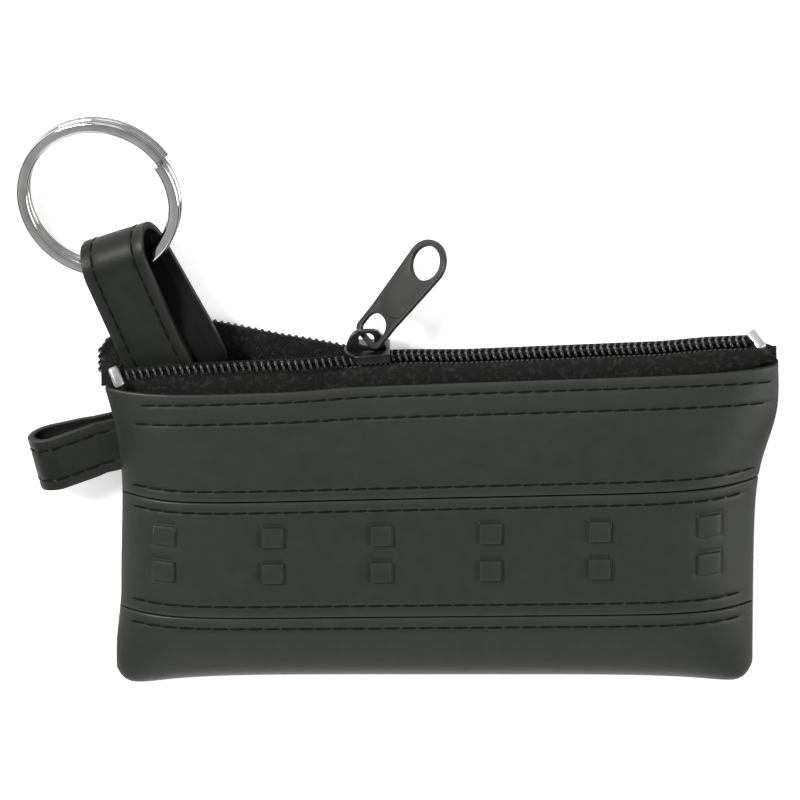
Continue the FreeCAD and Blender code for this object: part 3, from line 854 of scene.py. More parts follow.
# the zip: two tapes and coils, closed to the right of the slider and parted to its left
zipper = {
    # the chain as a whole, and its small bow
    "chainY": 32.2, "chainSlope": 0.044, "chainZ": 5.0, "roll": -2.0, "left": -55.2, "right": 55.6,
    "backLeft": -59.3, "sag": 0.45, "sagStart": -8.0, "sagRun": 14.0, "rise": 0.48, "riseStart": 38.0,
    "riseRun": 12.0,
    # the coils, wound of one wire, with cords inside
    "coilHalfWidth": 1.0, "coilHalfHeight": 0.75, "coilParting": 0.05, "pitch": 1.2, "perTurn": 14,
    "wire": 0.25, "bite": 0.42, "biteStart": -11.0, "biteRun": 5.0, "cord": 0.22, "cordSteps": 90,
    "cordsAt": ((-0.42, 0.40), (0.0, 0.40), (0.42, 0.40), (0.0, -0.02), (0.0, -0.42)),
    "hookTurns": 4, "hookSteps": 8, "hookAlong": Vector((0.0, -0.9, 0.25)),
    # the open part, from the slider to the left
    "turnStart": -12.4, "turnRun": 5.6, "turnAngle": 85.0, "liftStart": -14.0, "liftFrontRun": 16.0,
    "mouthFrontY": 0.8, "mouthFrontZ": 3.4, "mouthBackZ": 2.0, "leftStart": -47.0, "leftRun": 11.0,
    "leftFrontDrop": 1.4, "leftClose": 0.45,
    # how far the back coil stands above the chain line, from the left end to the slider
    "backLift": [(-60.0, 1.6), (-58.6, 3.6), (-56.5, 5.0), (-48.0, 6.8), (-40.0, 6.3), (-27.0, 2.9),
                 (-17.0, 1.2), (-12.0, 0.0)],
    "liftBlur": 0.8,
    # the tapes, sewn in below the panels' top edges and seated under the coils
    "tapeThickness": 0.4, "tapeClearance": 0.2, "tapeReach": 5.0, "tapeBend": 1.5, "tapeDip": 1.5,
    "fadeStart": 0.9, "fadeEnd": 0.975, "endLift": 0.5, "tapeLeft": -59.6, "tapeRight": 60.2,
    "endStart": 57.2, "endRun": 2.6, "endDrop": 2.2, "coilSink": 0.04, "seatShare": 0.8,
    "tapeColumns": 150, "tapeRows": 25,
}
chainRoll = math.radians(zipper["roll"])


def chainLine(x):
    return zipper["chainY"] + zipper["chainSlope"] * x


def turnShare(x):
    return smooth((zipper["turnStart"] - x) / zipper["turnRun"])


def leftShare(x):
    return smooth((zipper["leftStart"] - x) / zipper["leftRun"])


def liftAt(x):
    places = zipper["backLift"]
    for (left, low), (right, high) in zip(places[:-1], places[1:]):
        if x <= right:
            return low + (high - low) * clamp((x - left) / (right - left))
    return 0.0


def chainBow(x):
    # sewn tape never lies quite straight: a little low in the middle, up again at the closed end
    sag = zipper["sag"] * smooth((x - zipper["sagStart"]) / zipper["sagRun"])
    return zipper["rise"] * smooth((x - zipper["riseStart"]) / zipper["riseRun"]) - sag


def coilLeft(side):
    return zipper["left"] if side > 0 else zipper["backLeft"]


def coilCentre(x, side):
    if side > 0:
        y = zipper["mouthFrontY"] * smooth((zipper["liftStart"] - x) / zipper["liftFrontRun"])
        y -= zipper["leftFrontDrop"] * leftShare(x)
        part = zipper["mouthFrontZ"] * mouthOpen(x) * (1 - zipper["leftClose"] * leftShare(x))
    else:
        y = (liftAt(x - zipper["liftBlur"]) + liftAt(x) + liftAt(x + zipper["liftBlur"])) / 3
        part = zipper["mouthBackZ"] * mouthOpen(x)
    away = zipper["coilParting"] + zipper["coilHalfWidth"] + part
    y -= side * away * math.sin(chainRoll) * (1 - turnShare(x))
    return Vector((x, chainLine(x) + chainBow(x) + y, zipper["chainZ"] + side * away))


def coilAxes(x, side):
    # closed, the chain leans a little to the back; open, each coil turns to face the other
    share = turnShare(x)
    turn = math.radians(zipper["turnAngle"]) * share + side * chainRoll * (1 - share)
    edge = Vector((0, math.sin(turn), -side * math.cos(turn)))
    normal = Vector((0, math.cos(turn), side * math.sin(turn)))
    return edge, normal


def tapeColumn(x, side, shares):
    # from the seam inside the panel's top edge to the edge under the coil
    centre = coilCentre(x, side)
    edge, normal = coilAxes(x, side)
    under = zipper["coilHalfHeight"] - zipper["coilSink"]
    topY = case["topY"]
    u = max(-1.0, min(1.0, x / halfWidth(topY)))
    inside = 1 - smooth((abs(u) - zipper["fadeStart"]) / (zipper["fadeEnd"] - zipper["fadeStart"]))
    rimY = topY + case["topTilt"] * u + zipper["endLift"] * (1 - inside)
    depth = frontZ if side > 0 else backZ
    if side < 0:
        rimY += case["backTopRise"]
    wallZ = depth(u, topY, case["wall"]) - side * zipper["tapeClearance"]
    footZ = depth(u, topY - zipper["tapeReach"], case["wall"]) - side * zipper["tapeClearance"]
    rimZ = wallZ * inside + (zipper["chainZ"] + side * zipper["endLift"]) * (1 - inside)
    rim = Vector((x, rimY, rimZ - side * zipper["tapeDip"] * inside))
    foot = Vector((x, rimY - zipper["tapeReach"] * inside, footZ * inside + rimZ * (1 - inside)))
    bend = centre - edge * (zipper["coilHalfWidth"] + zipper["tapeBend"]) - normal * under
    tip = centre + edge * (zipper["coilHalfWidth"] - zipper["tapeClearance"] / 2) - normal * under
    seat = centre - edge * zipper["coilHalfWidth"] - normal * under
    drop = zipper["endDrop"] * smooth((x - zipper["endStart"]) / zipper["endRun"])
    tip.y -= drop
    seat.y -= drop
    bend.y -= drop / 2
    column = []
    for share in shares:
        t = min(1.0, share / zipper["seatShare"])
        k = 1 - t
        place = foot * k ** 3 + rim * (3 * t * k * k) + bend * (3 * t * t * k) + seat * t ** 3
        column.append(place.lerp(tip, clamp((share - zipper["seatShare"]) / (1 - zipper["seatShare"]))))
    return column


def tapePiece(name, side):
    xs = steps(zipper["tapeLeft"], zipper["tapeRight"], zipper["tapeColumns"])
    if side < 0:
        xs = xs[::-1]
    shares = steps(0, 1, zipper["tapeRows"])
    points = [tapeColumn(x, side, shares) for x in xs]
    piece = sheetPiece(name, points)
    thicken(piece, zipper["tapeThickness"])
    return piece, points


def coilHook(wide, high):
    # the last turns of the back coil hang down past the end of the tape
    perTurn = zipper["perTurn"]
    start = coilCentre(zipper["backLeft"], -1)
    run = []
    for i in range(zipper["hookTurns"] * perTurn):
        down = zipper["pitch"] * (zipper["hookTurns"] - i / perTurn)
        angle = 2 * math.pi * i / perTurn + math.pi
        turn = Vector((-wide * math.cos(angle), 0, -high * math.sin(angle)))
        run.append(start + zipper["hookAlong"] * down + turn)
    return run


def coilPiece(name, side):
    # one drawn wire wound in flat turns, whose heads bite between the other coil's where the zip is closed
    perTurn = zipper["perTurn"]
    left = coilLeft(side)
    wide = zipper["coilHalfWidth"] - zipper["wire"]
    high = zipper["coilHalfHeight"] - zipper["wire"]
    turns = int((zipper["right"] - left) / zipper["pitch"])
    run = [] if side > 0 else coilHook(wide, high)
    for i in range(turns * perTurn + 1):
        x = left + zipper["pitch"] * i / perTurn
        angle = 2 * math.pi * i / perTurn + (0 if side > 0 else math.pi)
        edge, normal = coilAxes(x, side)
        reach = wide
        if math.cos(angle) > 0:
            reach += zipper["bite"] * smooth((x - zipper["biteStart"]) / zipper["biteRun"])
        turn = edge * (reach * math.cos(angle)) + normal * (high * math.sin(angle))
        run.append(coilCentre(x, side) + turn)
    piece = tubePiece(name, [run], zipper["wire"])
    smoothShade(piece, "thread")
    return piece


def coilCord(name, side):
    # cords in the coil, side by side where it is parted and packed to fill it where the zip is closed
    xs = steps(coilLeft(side), zipper["right"], zipper["cordSteps"])
    runs = []
    for offset, height in zipper["cordsAt"]:
        run = []
        for x in xs:
            edge, normal = coilAxes(x, side)
            run.append(coilCentre(x, side) + edge * offset + normal * (height * (1 - turnShare(x))))
        runs.append(run)
        if side < 0:
            hookStart = coilCentre(zipper["backLeft"], side) - Vector((offset, 0, 0))
            downs = steps(zipper["hookTurns"] * zipper["pitch"], 0.0, zipper["hookSteps"])
            runs.append([hookStart + zipper["hookAlong"] * down for down in downs])
    return tubePiece(name, runs, zipper["cord"])


# a row of fine thread holds each coil on its tape
tapeThread = {"stitch": 0.62, "pitch": 0.9, "radius": 0.15, "lift": 0.06, "slant": 24.0,
              "share": 0.80, "skip": 6}


def tapeLine(points):
    row = round(tapeThread["share"] * (len(points[0]) - 1))
    skip = tapeThread["skip"]
    line = [(places[row], ups[row]) for places, ups in zip(points, surfaceNormals(points))]
    return line[skip:-skip]


zipTapes = []
for wall, side in (("front", 1), ("back", -1)):
    label = wall.title()
    tape, tapePoints = tapePiece("zipTape" + label, side)
    dress(tape, tapeCloth, "zip_tape", "pouch", "zip_tape_" + wall)
    zipTapes.append(tape)
    coil = coilPiece("zipCoil" + label, side)
    dress(coil, coilNylon, "zip_coil", "pouch", "zip_coil_" + wall)
    cord = coilCord("zipCord" + label, side)
    dress(cord, seamThread, "zip_cord", "pouch", "zip_cord_" + wall)
    thread = threadPiece("zipThread" + label, [tapeLine(tapePoints)], tapeThread)
    dress(thread, zipThread, "zip_cord", "pouch")


# the stops are short strips of metal pressed over the ends of the coils
stops = {"wide": 1.9, "thick": 1.5, "round": 0.5, "segments": 4, "lean": (0, 0.6, 0.8)}
stopPlaces = {
    "top_stop_front": {"place": (-56.9, 29.2, 8.35), "long": (0.37, -0.85, 0.37), "length": 3.7},
    "top_stop_back": {"place": (-57.6, 32.6, 1.0), "long": (0.10, -0.95, -0.20), "length": 2.6},
    "bottom_stop": {"place": (56.6, 34.8, 5.0), "long": (0.55, -0.55, 0.63), "length": 4.0},
}


def stopPiece(name, values):
    along = Vector(values["long"]).normalized()
    side = along.cross(Vector(stops["lean"])).normalized()
    clearSelection()
    bpy.ops.mesh.primitive_cube_add(size=1)
    piece = bpy.context.object
    piece.name = name
    bpy.ops.object.mode_set(mode="EDIT")
    size = (values["length"] * mm, stops["wide"] * mm, stops["thick"] * mm)
    bpy.ops.transform.resize(value=size, center_override=(0, 0, 0))
    bpy.ops.mesh.bevel(offset=stops["round"] * mm, segments=stops["segments"], affect="EDGES")
    bpy.ops.object.mode_set(mode="OBJECT")
    turned = Matrix((along, side, along.cross(side))).transposed().to_4x4()
    piece.data.transform(Matrix.Translation(Vector(values["place"]) * mm) @ turned)
    faceOutwards(piece)
    smoothShade(piece, "stop")
    return piece


for node, values in stopPlaces.items():
    dress(stopPiece(node.title().replace("_", ""), values), stopMetal, "bright_stop", "pouch", node)
print("zip made")


# leather strips that fold back on themselves: two legs joined by a round fold
def stripRoute(start, half, radius, centre, legSteps, foldSteps):
    # (along, height) places of the strip's middle, out on the upper leg and back on the lower one
    lean = math.asin((radius - half) / (centre - start))
    touch = centre - radius * math.sin(lean)
    out = []
    for x in steps(start, touch, legSteps)[:-1]:
        out.append((x, half + (x - start) * math.tan(lean)))
    for angle in steps(math.pi / 2 + lean, -math.pi / 2 - lean, foldSteps):
        out.append((centre + radius * math.cos(angle), radius * math.sin(angle)))
    back = [(x, -z) for x, z in out[:legSteps - 1]]
    return out + back[::-1]


strip = {
    "edge": (0.0, 0.08, 0.18, 0.3, 0.45, 0.65, 0.9), "row": (0.5, 0.3, 0.14, 0.0, -0.14, -0.3, -0.5),
    "middle": (0.35, 0.12), "grooveWidth": 0.42, "rubIn": 0.1, "rubWidth": 0.45, "seat": 0.7,
    "round": 0.42, "roundSegments": 3, "roundAngle": 50,
}


def stripWidths(values):
    half = values["width"] / 2
    places = {half - c for c in strip["edge"]}
    places |= {half - values["rowIn"] + c for c in strip["row"]}
    places |= {half * share for share in strip["middle"]}
    positive = sorted(places, reverse=True)
    return positive + [-y for y in reversed(positive)]


def stripPiece(name, values, points, widths):
    half = values["width"] / 2
    row = half - values["rowIn"]

    def relief(i, j):
        return -values["groove"] * bell(abs(widths[i]) - row, strip["grooveWidth"])

    def wear(i, j):
        return bell(half - abs(widths[i]) - strip["rubIn"], strip["rubWidth"])

    piece = sheetPiece(name, points, relief, wear)
    piece.vertex_groups.new(name="shell")
    finishWith(piece, "SOLIDIFY", thickness=values["leather"] * mm, offset=0, shell_vertex_group="shell")
    finishWith(piece, "BEVEL", width=strip["round"] * mm, segments=strip["roundSegments"],
               limit_method="ANGLE", angle_limit=math.radians(strip["roundAngle"]))
    # the inner face is marked for painted shade in the leather's colour
    inner = pointMark(piece, "inner")
    for vert in piece.data.vertices:
        inner.data[vert.index].value = max([part.weight for part in vert.groups], default=0.0)
    piece.vertex_groups.clear()
    smoothShade(piece, "strip")
    normals = surfaceNormals(points)
    rise = values["leather"] / 2 - values["groove"] * strip["seat"]
    lines = []
    for i in (widths.index(row), widths.index(-row)):
        line = [(place + normal * rise, normal) for place, normal in zip(points[i], normals[i])]
        lines.append(line[values["skip"]:len(line) - values["skip"]])
    return piece, lines


# the key strap: its tail lies in the mouth and its loop outside carries the ring
strap = {
    "width": 12.0, "leather": 1.3, "layerGap": 0.2, "lean": 24.5, "roll": 13.0, "bendInset": 7.7,
    "bendOut": 6.46, "bendLift": 1.25, "bendHalf": 3.0, "tail": 24.0, "tailFall": 2.45, "loop": 20.2,
    "foldRadius": 3.5, "foldRise": 0.5, "foldShift": 1.2, "slack": 1.5, "rowIn": 2.0, "groove": 0.18,
    "skip": 1, "turnAt": -14.0, "turnRun": 9.0, "splayOut": 4.0, "splayIn": -1.9, "splayEnd": -14.0,
    "splayRun": 8.0, "legSteps": 24, "foldSteps": 31, "tailSteps": 34,
}
strapStitch = {"stitch": 2.5, "pitch": 2.9, "radius": 0.19, "lift": 0.02, "slant": 2.0}
strapLean = math.radians(strap["lean"])
strapRoll = math.radians(strap["roll"])
strapPlan = Vector((-math.sin(strapLean), math.cos(strapLean), 0))
bendX = zipper["left"] + strap["bendInset"]
strapBend = Vector((bendX, chainLine(bendX) + strap["bendOut"], zipper["chainZ"] + strap["bendLift"]))
foldCentre = strap["loop"] - strap["foldRadius"] - strap["leather"]
upward = Vector((0, 0, 1))
strapAlong = (strapPlan * foldCentre + upward * strap["foldRise"]).normalized()
flatAcross = upward.cross(strapAlong).normalized()
strapAcross = flatAcross * math.cos(strapRoll) - strapAlong.cross(flatAcross) * math.sin(strapRoll)
strapNormal = strapAlong.cross(strapAcross)
tailAlong = (strapPlan * strap["tail"] + upward * strap["tailFall"]).normalized()
tailAcross = upward.cross(tailAlong).normalized()
tailNormal = tailAlong.cross(tailAcross)


def onStrap(x, y, z):
    # the two legs part sideways below the fold, the upper one to the left
    share = smooth((x - strap["turnAt"]) / strap["turnRun"])
    fan = strap["splayOut"] if z > 0 else strap["splayIn"]
    reach = strap["loop"] + strap["slack"]
    fan *= clamp(1 - x / reach) if x > 0 else smooth((x - strap["splayEnd"]) / strap["splayRun"])
    fan += strap["foldShift"] * clamp(x / reach)
    inside = strapBend + tailAlong * x + tailAcross * (y + fan) + tailNormal * z
    outside = strapBend + strapAlong * x + strapAcross * (y + fan) + strapNormal * z
    return inside.lerp(outside, share)


def strapPieces():
    half = (strap["leather"] + strap["layerGap"]) / 2
    radius = strap["foldRadius"] + strap["leather"] / 2
    centre = foldCentre + strap["slack"]
    route = stripRoute(0.0, half, radius, centre, strap["legSteps"], strap["foldSteps"])
    tail = [(x, half) for x in steps(-strap["tail"], 0.0, strap["tailSteps"])[:-1]]
    route = tail + route + [(x, -z) for x, z in reversed(tail)]
    widths = stripWidths(strap)
    points = [[onStrap(x, y, z) for x, z in route] for y in widths]
    piece, lines = stripPiece("keyStrap", strap, points, widths)
    return piece, threadPiece("strapThread", lines, strapStitch)


keyStrap, strapThread = strapPieces()
bendStart = (strapBend - strapAlong * strap["bendHalf"]) * mm
bendEnd = (strapBend + strapAlong * strap["bendHalf"]) * mm
dress(keyStrap, strapLeather, "strap_leather", None, "strap_tail", "strap_loop")
dress(strapThread, seamThread, "zip_cord", None)
for piece in (keyStrap, strapThread):
    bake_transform(piece)

# the side loop, sewn into the left seam
sideLoop = {
    "width": 9.6, "leather": 1.3, "layerGap": 0.1, "length": 12.1, "foldRadius": 2.45, "drop": 12.5,
    "lean": 14.0, "splay": 0.9, "rootGap": 0.35, "rowIn": 1.9, "groove": 0.22, "skip": 2, "sewnIn": 1.3,
    "bendIn": 1.2, "bendOut": 2.2, "legSteps": 20, "foldSteps": 27, "sewnSteps": 7,
}
loopY = case["topY"] - sideLoop["drop"]
loopTurn = math.radians(sideLoop["lean"])
seamRun = halfWidth(loopY + sideLoop["width"] / 2) - halfWidth(loopY - sideLoop["width"] / 2)
loopCorner = sideLoop["width"] / 2 * abs(math.sin(loopTurn) - seamRun / sideLoop["width"])
rootX = -halfWidth(loopY) - loopCorner - sideLoop["rootGap"] - sideLoop["leather"]
rootY = loopY - case["topTilt"] * (loopY - case["foldY"]) / topSpan
loopRoot = Vector((rootX, rootY, case["seamZ"]))
loopAlong = Vector((-math.cos(loopTurn), -math.sin(loopTurn), 0))
loopAcross = Vector((math.sin(loopTurn), -math.cos(loopTurn), 0))


def loopPieces():
    half = (sideLoop["leather"] + sideLoop["layerGap"]) / 2
    radius = sideLoop["foldRadius"] + sideLoop["leather"] / 2
    centre = sideLoop["length"] - sideLoop["foldRadius"] - sideLoop["leather"]
    route = stripRoute(0.0, half, radius, centre, sideLoop["legSteps"], sideLoop["foldSteps"])
    widths = stripWidths(sideLoop)
    points = []
    for y in widths:
        seamX = -halfWidth(loopRoot.y + loopAcross.y * y) + sideLoop["sewnIn"]
        start = (seamX - loopRoot.x - loopAcross.x * y) / loopAlong.x
        sewn = [(x, half) for x in steps(start, 0.0, sideLoop["sewnSteps"])[:-1]]
        path = sewn + route + [(x, -z) for x, z in reversed(sewn)]
        line = []
        for x, z in path:
            # the lower leg stands out a little above the upper one
            fan = sideLoop["splay"] * clamp(1 - x / centre) * smooth(0.5 - z / radius)
            line.append(loopRoot + loopAlong * x + loopAcross * (y - fan) + upward * z)
        points.append(line)
    piece, lines = stripPiece("sideLoop", sideLoop, points, widths)
    return piece, threadPiece("loopThread", lines, strapStitch)


hangLoop, loopThread = loopPieces()
dress(hangLoop, strapLeather, "strap_leather", None, "side_loop")
dress(loopThread, seamThread, "zip_cord", None)
for piece in (hangLoop, loopThread):
    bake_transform(piece)
print("strap and side loop made")

# the split ring: a rounded flat section screwed round two turns
ring = {"radius": 15.0, "radial": 2.2, "wire": 1.3, "round": 0.62, "roundSegments": 5, "turnGap": 0.46,
        "turns": 2, "steps": 120, "split": -78.0, "droop": 4.0, "clearance": 0.3, "play": (0.7, -0.8)}


def ringPiece():
    mean = ring["radius"] - ring["radial"] / 2
    pitch = ring["wire"] + ring["turnGap"]
    droop = math.radians(ring["droop"])
    out = strapAlong * math.cos(droop) - strapNormal * math.sin(droop)
    normal = out.cross(strapAcross)
    bow = mean - math.sqrt(mean ** 2 - (strap["width"] / 2) ** 2)
    swing = math.hypot(bow + ring["radial"] / 2, (pitch + ring["wire"]) / 2)
    shift = strap["foldRadius"] - swing - ring["clearance"]
    across, inwards = ring["play"]
    centre = strapBend + strapAlong * (foldCentre + shift) + out * (mean + inwards) + strapAcross * across
    clearSelection()
    bpy.ops.mesh.primitive_plane_add(size=1)
    piece = bpy.context.object
    piece.name = "splitRing"
    bpy.ops.object.mode_set(mode="EDIT")
    bpy.ops.transform.resize(value=(ring["radial"] * mm, ring["wire"] * mm, 1), center_override=(0, 0, 0))
    bpy.ops.transform.rotate(value=math.pi / 2, orient_axis="X", center_override=(0, 0, 0))
    bpy.ops.mesh.bevel(offset=ring["round"] * mm, segments=ring["roundSegments"], affect="VERTICES")
    bpy.ops.mesh.delete(type="ONLY_FACE")
    bpy.ops.mesh.select_all(action="SELECT")
    bpy.ops.transform.translate(value=(mean * mm, 0, 0))
    bpy.ops.object.mode_set(mode="OBJECT")
    finishWith(piece, "SCREW", axis="Z", angle=2 * math.pi, screw_offset=pitch * mm,
               iterations=ring["turns"], steps=ring["steps"], render_steps=ring["steps"],
               use_merge_vertices=False)
    pickOnly(piece)
    bpy.ops.object.mode_set(mode="EDIT")
    bpy.ops.mesh.select_all(action="SELECT")
    bpy.ops.mesh.fill_holes(sides=0)
    bpy.ops.object.mode_set(mode="OBJECT")
    # the two wires lie evenly about the middle where they pass through the strap
    split = math.radians(ring["split"])
    drop = pitch * (split - 2 * math.pi) / (2 * math.pi)
    local = Matrix.Translation((0, 0, drop * mm)) @ Matrix.Rotation(split, 4, "Z")
    turned = Matrix((out, strapAcross, normal)).transposed().to_4x4()
    piece.data.transform(Matrix.Translation(centre * mm) @ turned @ local)
    faceOutwards(piece)
    smoothShade(piece, "ring")
    # the ring's sides get painted shade in its colour
    paintSideShade(piece, normal)
    return piece


splitRing = ringPiece()
dress(splitRing, ringChrome, "ring_chrome", "ring", "split_ring")
print("ring made")


# flat metal parts: an outline with holes, filled, given its thickness and rounded edges
def flatPiece(name, outlines, thickness, edge, turned, place):
    runs = [[(x, y, 0.0) for x, y in outline] for outline in outlines]
    settings = {"dimensions": "2D", "fill_mode": "BOTH", "offset": -edge * mm,
                "extrude": (thickness / 2 - edge) * mm, "bevel_depth": edge * mm, "bevel_resolution": 3}
    piece = curvePiece(name, runs, True, settings)
    bpy.ops.object.mode_set(mode="EDIT")
    bpy.ops.mesh.select_all(action="SELECT")
    bpy.ops.mesh.remove_doubles(threshold=0.01 * mm)
    bpy.ops.object.mode_set(mode="OBJECT")
    piece.data.transform(Matrix.Translation(place * mm) @ turned.to_4x4())
    faceOutwards(piece)
    smoothShade(piece, "plate")
    return piece


def arcPoints(centreX, centreY, radius, start, end, count):
    turns = [math.radians(a) for a in steps(start, end, count)]
    return [(centreX + radius * math.cos(a), centreY + radius * math.sin(a)) for a in turns]


# the slider: a top plate with side rails round the chain, a post, a base plate and an arched bridge
slider = {
    "x": -12.4, "roll": 3.0, "length": 8.2, "nose": 2.6, "noseSteps": 25, "taper": 0.5, "half": 3.7386,
    "inner": 3.1386, "plateLow": 1.12, "plateHigh": 1.8, "edge": 0.22,
    "baseHigh": -1.85, "baseLow": -2.6, "baseHalf": 1.2, "baseEdge": 0.15,
    "railLow": 0.3, "railIn": 0.3, "railEdge": 0.04,
    "post": (-3.8, -1.9), "postHalf": 0.15, "postIn": 0.2, "postEdge": 0.05,
    "bridgeWidth": 1.3, "bridgeEdge": 0.3,
    "cap": [(-3.7, 1.6), (-3.5, 2.9), (-2.9, 4.2), (-2.2, 5.0), (-1.5, 5.35), (1.3, 5.35), (2.1, 5.0),
            (2.9, 4.1), (3.4, 3.0), (3.6, 1.6)],
    "slotHalf": 1.35, "slotLow": 2.35, "slotHigh": 4.75, "slotRound": 1.0, "slotSteps": 7,
}
chainAlong = Vector((1, zipper["chainSlope"], 0)).normalized()
chainNormal = upward.cross(chainAlong)
sliderPlace = Vector((slider["x"], chainLine(slider["x"]), zipper["chainZ"]))
sliderRoll = math.radians(slider["roll"])
plateNormal = chainNormal * math.cos(sliderRoll) + upward * math.sin(sliderRoll)
plateSide = chainAlong.cross(plateNormal)
sliderTurn = Matrix((chainAlong, plateSide, -plateNormal)).transposed()
bridgeTurn = Matrix((chainAlong, plateNormal, plateSide)).transposed()


def sliderOutline(half, taper):
    left = -slider["length"] / 2
    radius = (half ** 2 + slider["nose"] ** 2) / (2 * slider["nose"])
    swing = math.degrees(math.asin(half / radius))
    nose = arcPoints(left + radius, 0, radius, 180 - swing, 180 + swing, slider["noseSteps"])
    return nose + [(-left, -(half - taper)), (-left, half - taper)]


def sliderPlate(name, outline, low, high, edge):
    middle = sliderPlace + plateNormal * (low + high) / 2
    return flatPiece(name, [outline], high - low, edge, sliderTurn, middle)


def sliderPieces():
    outline = sliderOutline(slider["half"], slider["taper"])
    made = [sliderPlate("topPlate", outline, slider["plateLow"], slider["plateHigh"], slider["edge"])]
    base = [(x, max(-slider["baseHalf"], min(slider["baseHalf"], y))) for x, y in outline]
    made.append(sliderPlate("basePlate", base, slider["baseLow"], slider["baseHigh"], slider["baseEdge"]))
    for sign in (1, -1):
        outer = [(x, y) for x, y in outline if y * sign >= slider["inner"]]
        inner = [(x, slider["inner"] * sign) for x, y in reversed(outer)]
        rail = sorted(set(outer)) + sorted(set(inner), reverse=True)
        railHigh = slider["plateLow"] + slider["railIn"]
        made.append(sliderPlate("rail", rail, slider["railLow"], railHigh, slider["railEdge"]))
    left, right = slider["post"]
    half = slider["postHalf"]
    post = [(left, -half), (right, -half), (right, half), (left, half)]
    postLow = slider["baseHigh"] - slider["postIn"]
    postHigh = slider["plateLow"] + slider["postIn"]
    made.append(sliderPlate("post", post, postLow, postHigh, slider["postEdge"]))
    return joinAll(made, "sliderBody")


def bridgePiece():
    # a low cap, steep at the nose, with a round-cornered slot that the pull's bar swings in
    turn = slider["slotRound"]
    right = slider["slotHalf"] - turn
    slot = arcPoints(right, slider["slotLow"] + turn, turn, -90, 0, slider["slotSteps"])
    slot += arcPoints(right, slider["slotHigh"] - turn, turn, 0, 90, slider["slotSteps"])
    slot += [(-x, y) for x, y in reversed(slot)]
    return flatPiece("sliderBridge", [slider["cap"], slot], slider["bridgeWidth"], slider["bridgeEdge"],
                     bridgeTurn, sliderPlace)


sliderBody = sliderPieces()
dress(sliderBody, sliderLacquer, "slider_black", "slider", "slider_body")
sliderBridge = bridgePiece()
dress(sliderBridge, sliderLacquer, "slider_black", "slider", "slider_bridge")

# the pull: a flat plate with an arched hole for the bridge, a shallow step and a round eye
pull = {
    "pivotRise": 3.503, "along": (0.60, 0.80, -0.03), "across": (0.54423, -0.38013, 0.74787),
    "thin": 0.84, "thick": 1.06, "edge": 0.2,
    "back": -0.5, "baseHalf": 3.45, "baseRound": 1.6, "baseSteps": 9, "shoulder": 5.1,
    "holeStart": 0.5, "holeEnd": 5.1, "holeHalf": 2.45, "holeRound": 1.0, "holeSteps": 6, "arch": 2.3,
    "archSteps": 12, "eyeX": 17.8, "eyeOuter": 4.3, "eyeRadius": 3.15, "eyeSteps": 60, "tipSteps": 22,
    "stepX": 7.2, "stepDip": 1.3, "stepInset": 0.45, "dipSteps": 9,
}
pullAlong = Vector(pull["along"]).normalized()
pullNormal = pullAlong.cross(Vector(pull["across"])).normalized()
pullAcross = pullNormal.cross(pullAlong)
pullPlace = sliderPlace + chainNormal * pull["pivotRise"]
pullTurn = Matrix((pullAlong, pullAcross, pullNormal)).transposed()


def mirrored(upper):
    return upper + [(x, -y) for x, y in reversed(upper)]


def pullSide(inset):
    # the slanting edge from the shoulder to where it meets the round of the eye
    waist = Vector((pull["shoulder"], pull["baseHalf"] - inset))
    eye = Vector((pull["eyeX"], 0))
    outer = pull["eyeOuter"] - inset
    reach = eye - waist
    tilt = math.atan2(reach.y, reach.x) + math.asin(outer / reach.length)
    run = math.sqrt(reach.length ** 2 - outer ** 2)
    touch = waist + Vector((math.cos(tilt), math.sin(tilt))) * run
    start = math.degrees(math.atan2(touch.y, touch.x - eye.x))
    return waist, touch, arcPoints(eye.x, 0, outer, start, 0, pull["tipSteps"])[:-1]


def pullPieces():
    waist, touch, tip = pullSide(0.0)
    turn = pull["baseRound"]
    upper = arcPoints(pull["back"] + turn, pull["baseHalf"] - turn, turn, 180, 90, pull["baseSteps"])
    outline = mirrored(upper + [(waist.x, waist.y)] + tip)
    small = pull["holeRound"]
    arch = pull["arch"]
    hole = arcPoints(pull["holeStart"] + small, pull["holeHalf"] - small, small, 180, 90, pull["holeSteps"])
    hole += arcPoints(pull["holeEnd"] - arch, pull["holeHalf"] - arch, arch, 90, 0, pull["archSteps"])
    hole = mirrored(hole)
    eye = arcPoints(pull["eyeX"], 0, pull["eyeRadius"], 0, 360, pull["eyeSteps"] + 1)[:-1]
    made = [flatPiece("thinPlate", [outline, hole, eye], pull["thin"], pull["edge"], pullTurn, pullPlace)]
    waist, touch, tip = pullSide(pull["stepInset"])
    slope = (touch.y - waist.y) / (touch.x - waist.x)
    edgeY = waist.y + slope * (pull["stepX"] - waist.x)
    dip = []
    for share in steps(0, 1, pull["dipSteps"])[:-1]:
        dip.append((pull["stepX"] - pull["stepDip"] * (1 - share ** 2), edgeY * share))
    raised = mirrored(dip[1:] + [(pull["stepX"], edgeY)] + tip)
    made.append(flatPiece("thickPlate", [raised, eye], pull["thick"], pull["edge"], pullTurn, pullPlace))
    return joinAll(made, "pullTab")


pullTab = pullPieces()
dress(pullTab, pullLacquer, "pull_black", "pull", "pull_tab")
print("slider and pull made")

# the soft pieces: cut size in metres and how each is held
softPieces = [
    (upperPanel, (0.122, 0.021), "stretched", ["bandPanel"]),
    (bandPanel, (0.117, 0.023), "stretched", ["wrapPanel"]),
    (lowerPanel, (0.114, 0.078), "folded", []),
    (lining, (0.105, 0.103), "folded", ["wrapPanel"]),
    (zipTapes[0], (0.120, 0.010), "stretched", ["upperPanel"]),
    (zipTapes[1], (0.120, 0.010), "stretched", ["wrapPanel"]),
    (keyStrap, (0.012, 0.097), "folded", ["clothLining"]),
    (hangLoop, (0.010, 0.035), "folded", ["wrapPanel"]),
]
for piece, flat, held, restsOn in softPieces:
    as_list(restsOn)

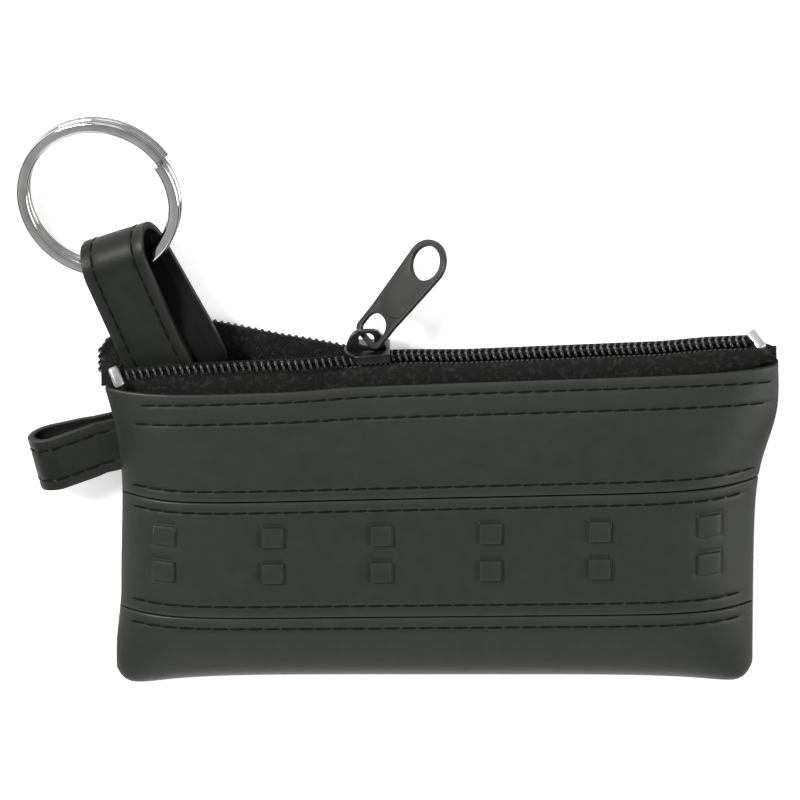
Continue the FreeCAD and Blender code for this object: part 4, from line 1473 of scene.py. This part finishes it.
# the studio: a pale floor, a soft key from the upper left, a fill from the right and a bright room
studio = {
    "floor": 6.0, "floorTone": (0.90, 0.90, 0.89), "floorRoughness": 0.8, "floorShine": 0.1, "glow": 0.45,
    "world": 0.70, "sky": ((0.34, 0.05), (0.62, 1.0), (1.0, 0.45)),
    "lights": {
        "keyLight": {"place": (-0.60, 0.46, 0.52), "size": 0.27, "energy": 11.0},
        "fillLight": {"place": (0.80, -0.05, 0.45), "size": 0.6, "energy": 6.2},
        "backLight": {"place": (-0.15, 0.90, 0.40), "size": 0.5, "energy": 1.2},
        "frontLight": {"place": (-0.10, -0.80, 0.40), "size": 0.6, "energy": 1.4},
    },
}
clearSelection()
bpy.ops.mesh.primitive_plane_add(size=studio["floor"])
floor = bpy.context.object
floor.name = "floor"
floorFinish = Finish("floorPaper")
floorFinish.surface(Base_Color=(*studio["floorTone"], 1), Roughness=studio["floorRoughness"])
floorFinish.surface(Specular_IOR_Level=studio["floorShine"])
floorFinish.surface(Emission_Color=(1, 1, 1, 1), Emission_Strength=studio["glow"])
floor.data.materials.append(floorFinish.material)

world = bpy.data.worlds.new("room")
bpy.context.scene.world = world
world.use_nodes = True
sky = world.node_tree.nodes["Background"]
sky.inputs["Strength"].default_value = studio["world"]
skyTree = world.node_tree
outlook = skyTree.nodes.new("ShaderNodeTexCoord")
heights = skyTree.nodes.new("ShaderNodeSeparateXYZ")
shade = skyTree.nodes.new("ShaderNodeValToRGB")
floorFinish.setStops(shade.color_ramp, studio["sky"])
skyTree.links.new(outlook.outputs["Generated"], heights.inputs[0])
skyTree.links.new(heights.outputs["Z"], shade.inputs["Fac"])
skyTree.links.new(shade.outputs["Color"], sky.inputs["Color"])

for name, values in studio["lights"].items():
    lamp = bpy.data.lights.new(name, "AREA")
    lamp.size = values["size"]
    lamp.energy = values["energy"]
    light = bpy.data.objects.new(name, lamp)
    bpy.context.collection.objects.link(light)
    light.location = values["place"]
    light.rotation_euler = (-Vector(values["place"])).to_track_quat("-Z", "Y").to_euler()

# the camera stands where the photo was taken from, a long lens tilted back from straight above
shot = {"tilt": 23.0, "target": (-6.6, 23.73, 6.0), "distance": 5.0, "width": 0.142, "sensor": 36.0,
        "clipEnd": 20}
tilt = math.radians(shot["tilt"])
lens = bpy.data.cameras.new("photoLens")
lens.sensor_width = shot["sensor"]
lens.lens = shot["sensor"] * shot["distance"] / shot["width"]
lens.clip_end = shot["clipEnd"]
camera = bpy.data.objects.new("photoCamera", lens)
bpy.context.collection.objects.link(camera)
back = Vector((0, math.sin(tilt), math.cos(tilt)))
camera.location = Vector(shot["target"]) * mm + back * shot["distance"]
camera.rotation_euler = (-tilt, 0, 0)
bpy.context.scene.camera = camera
bpy.context.scene.view_settings.view_transform = "Standard"
print("studio set")
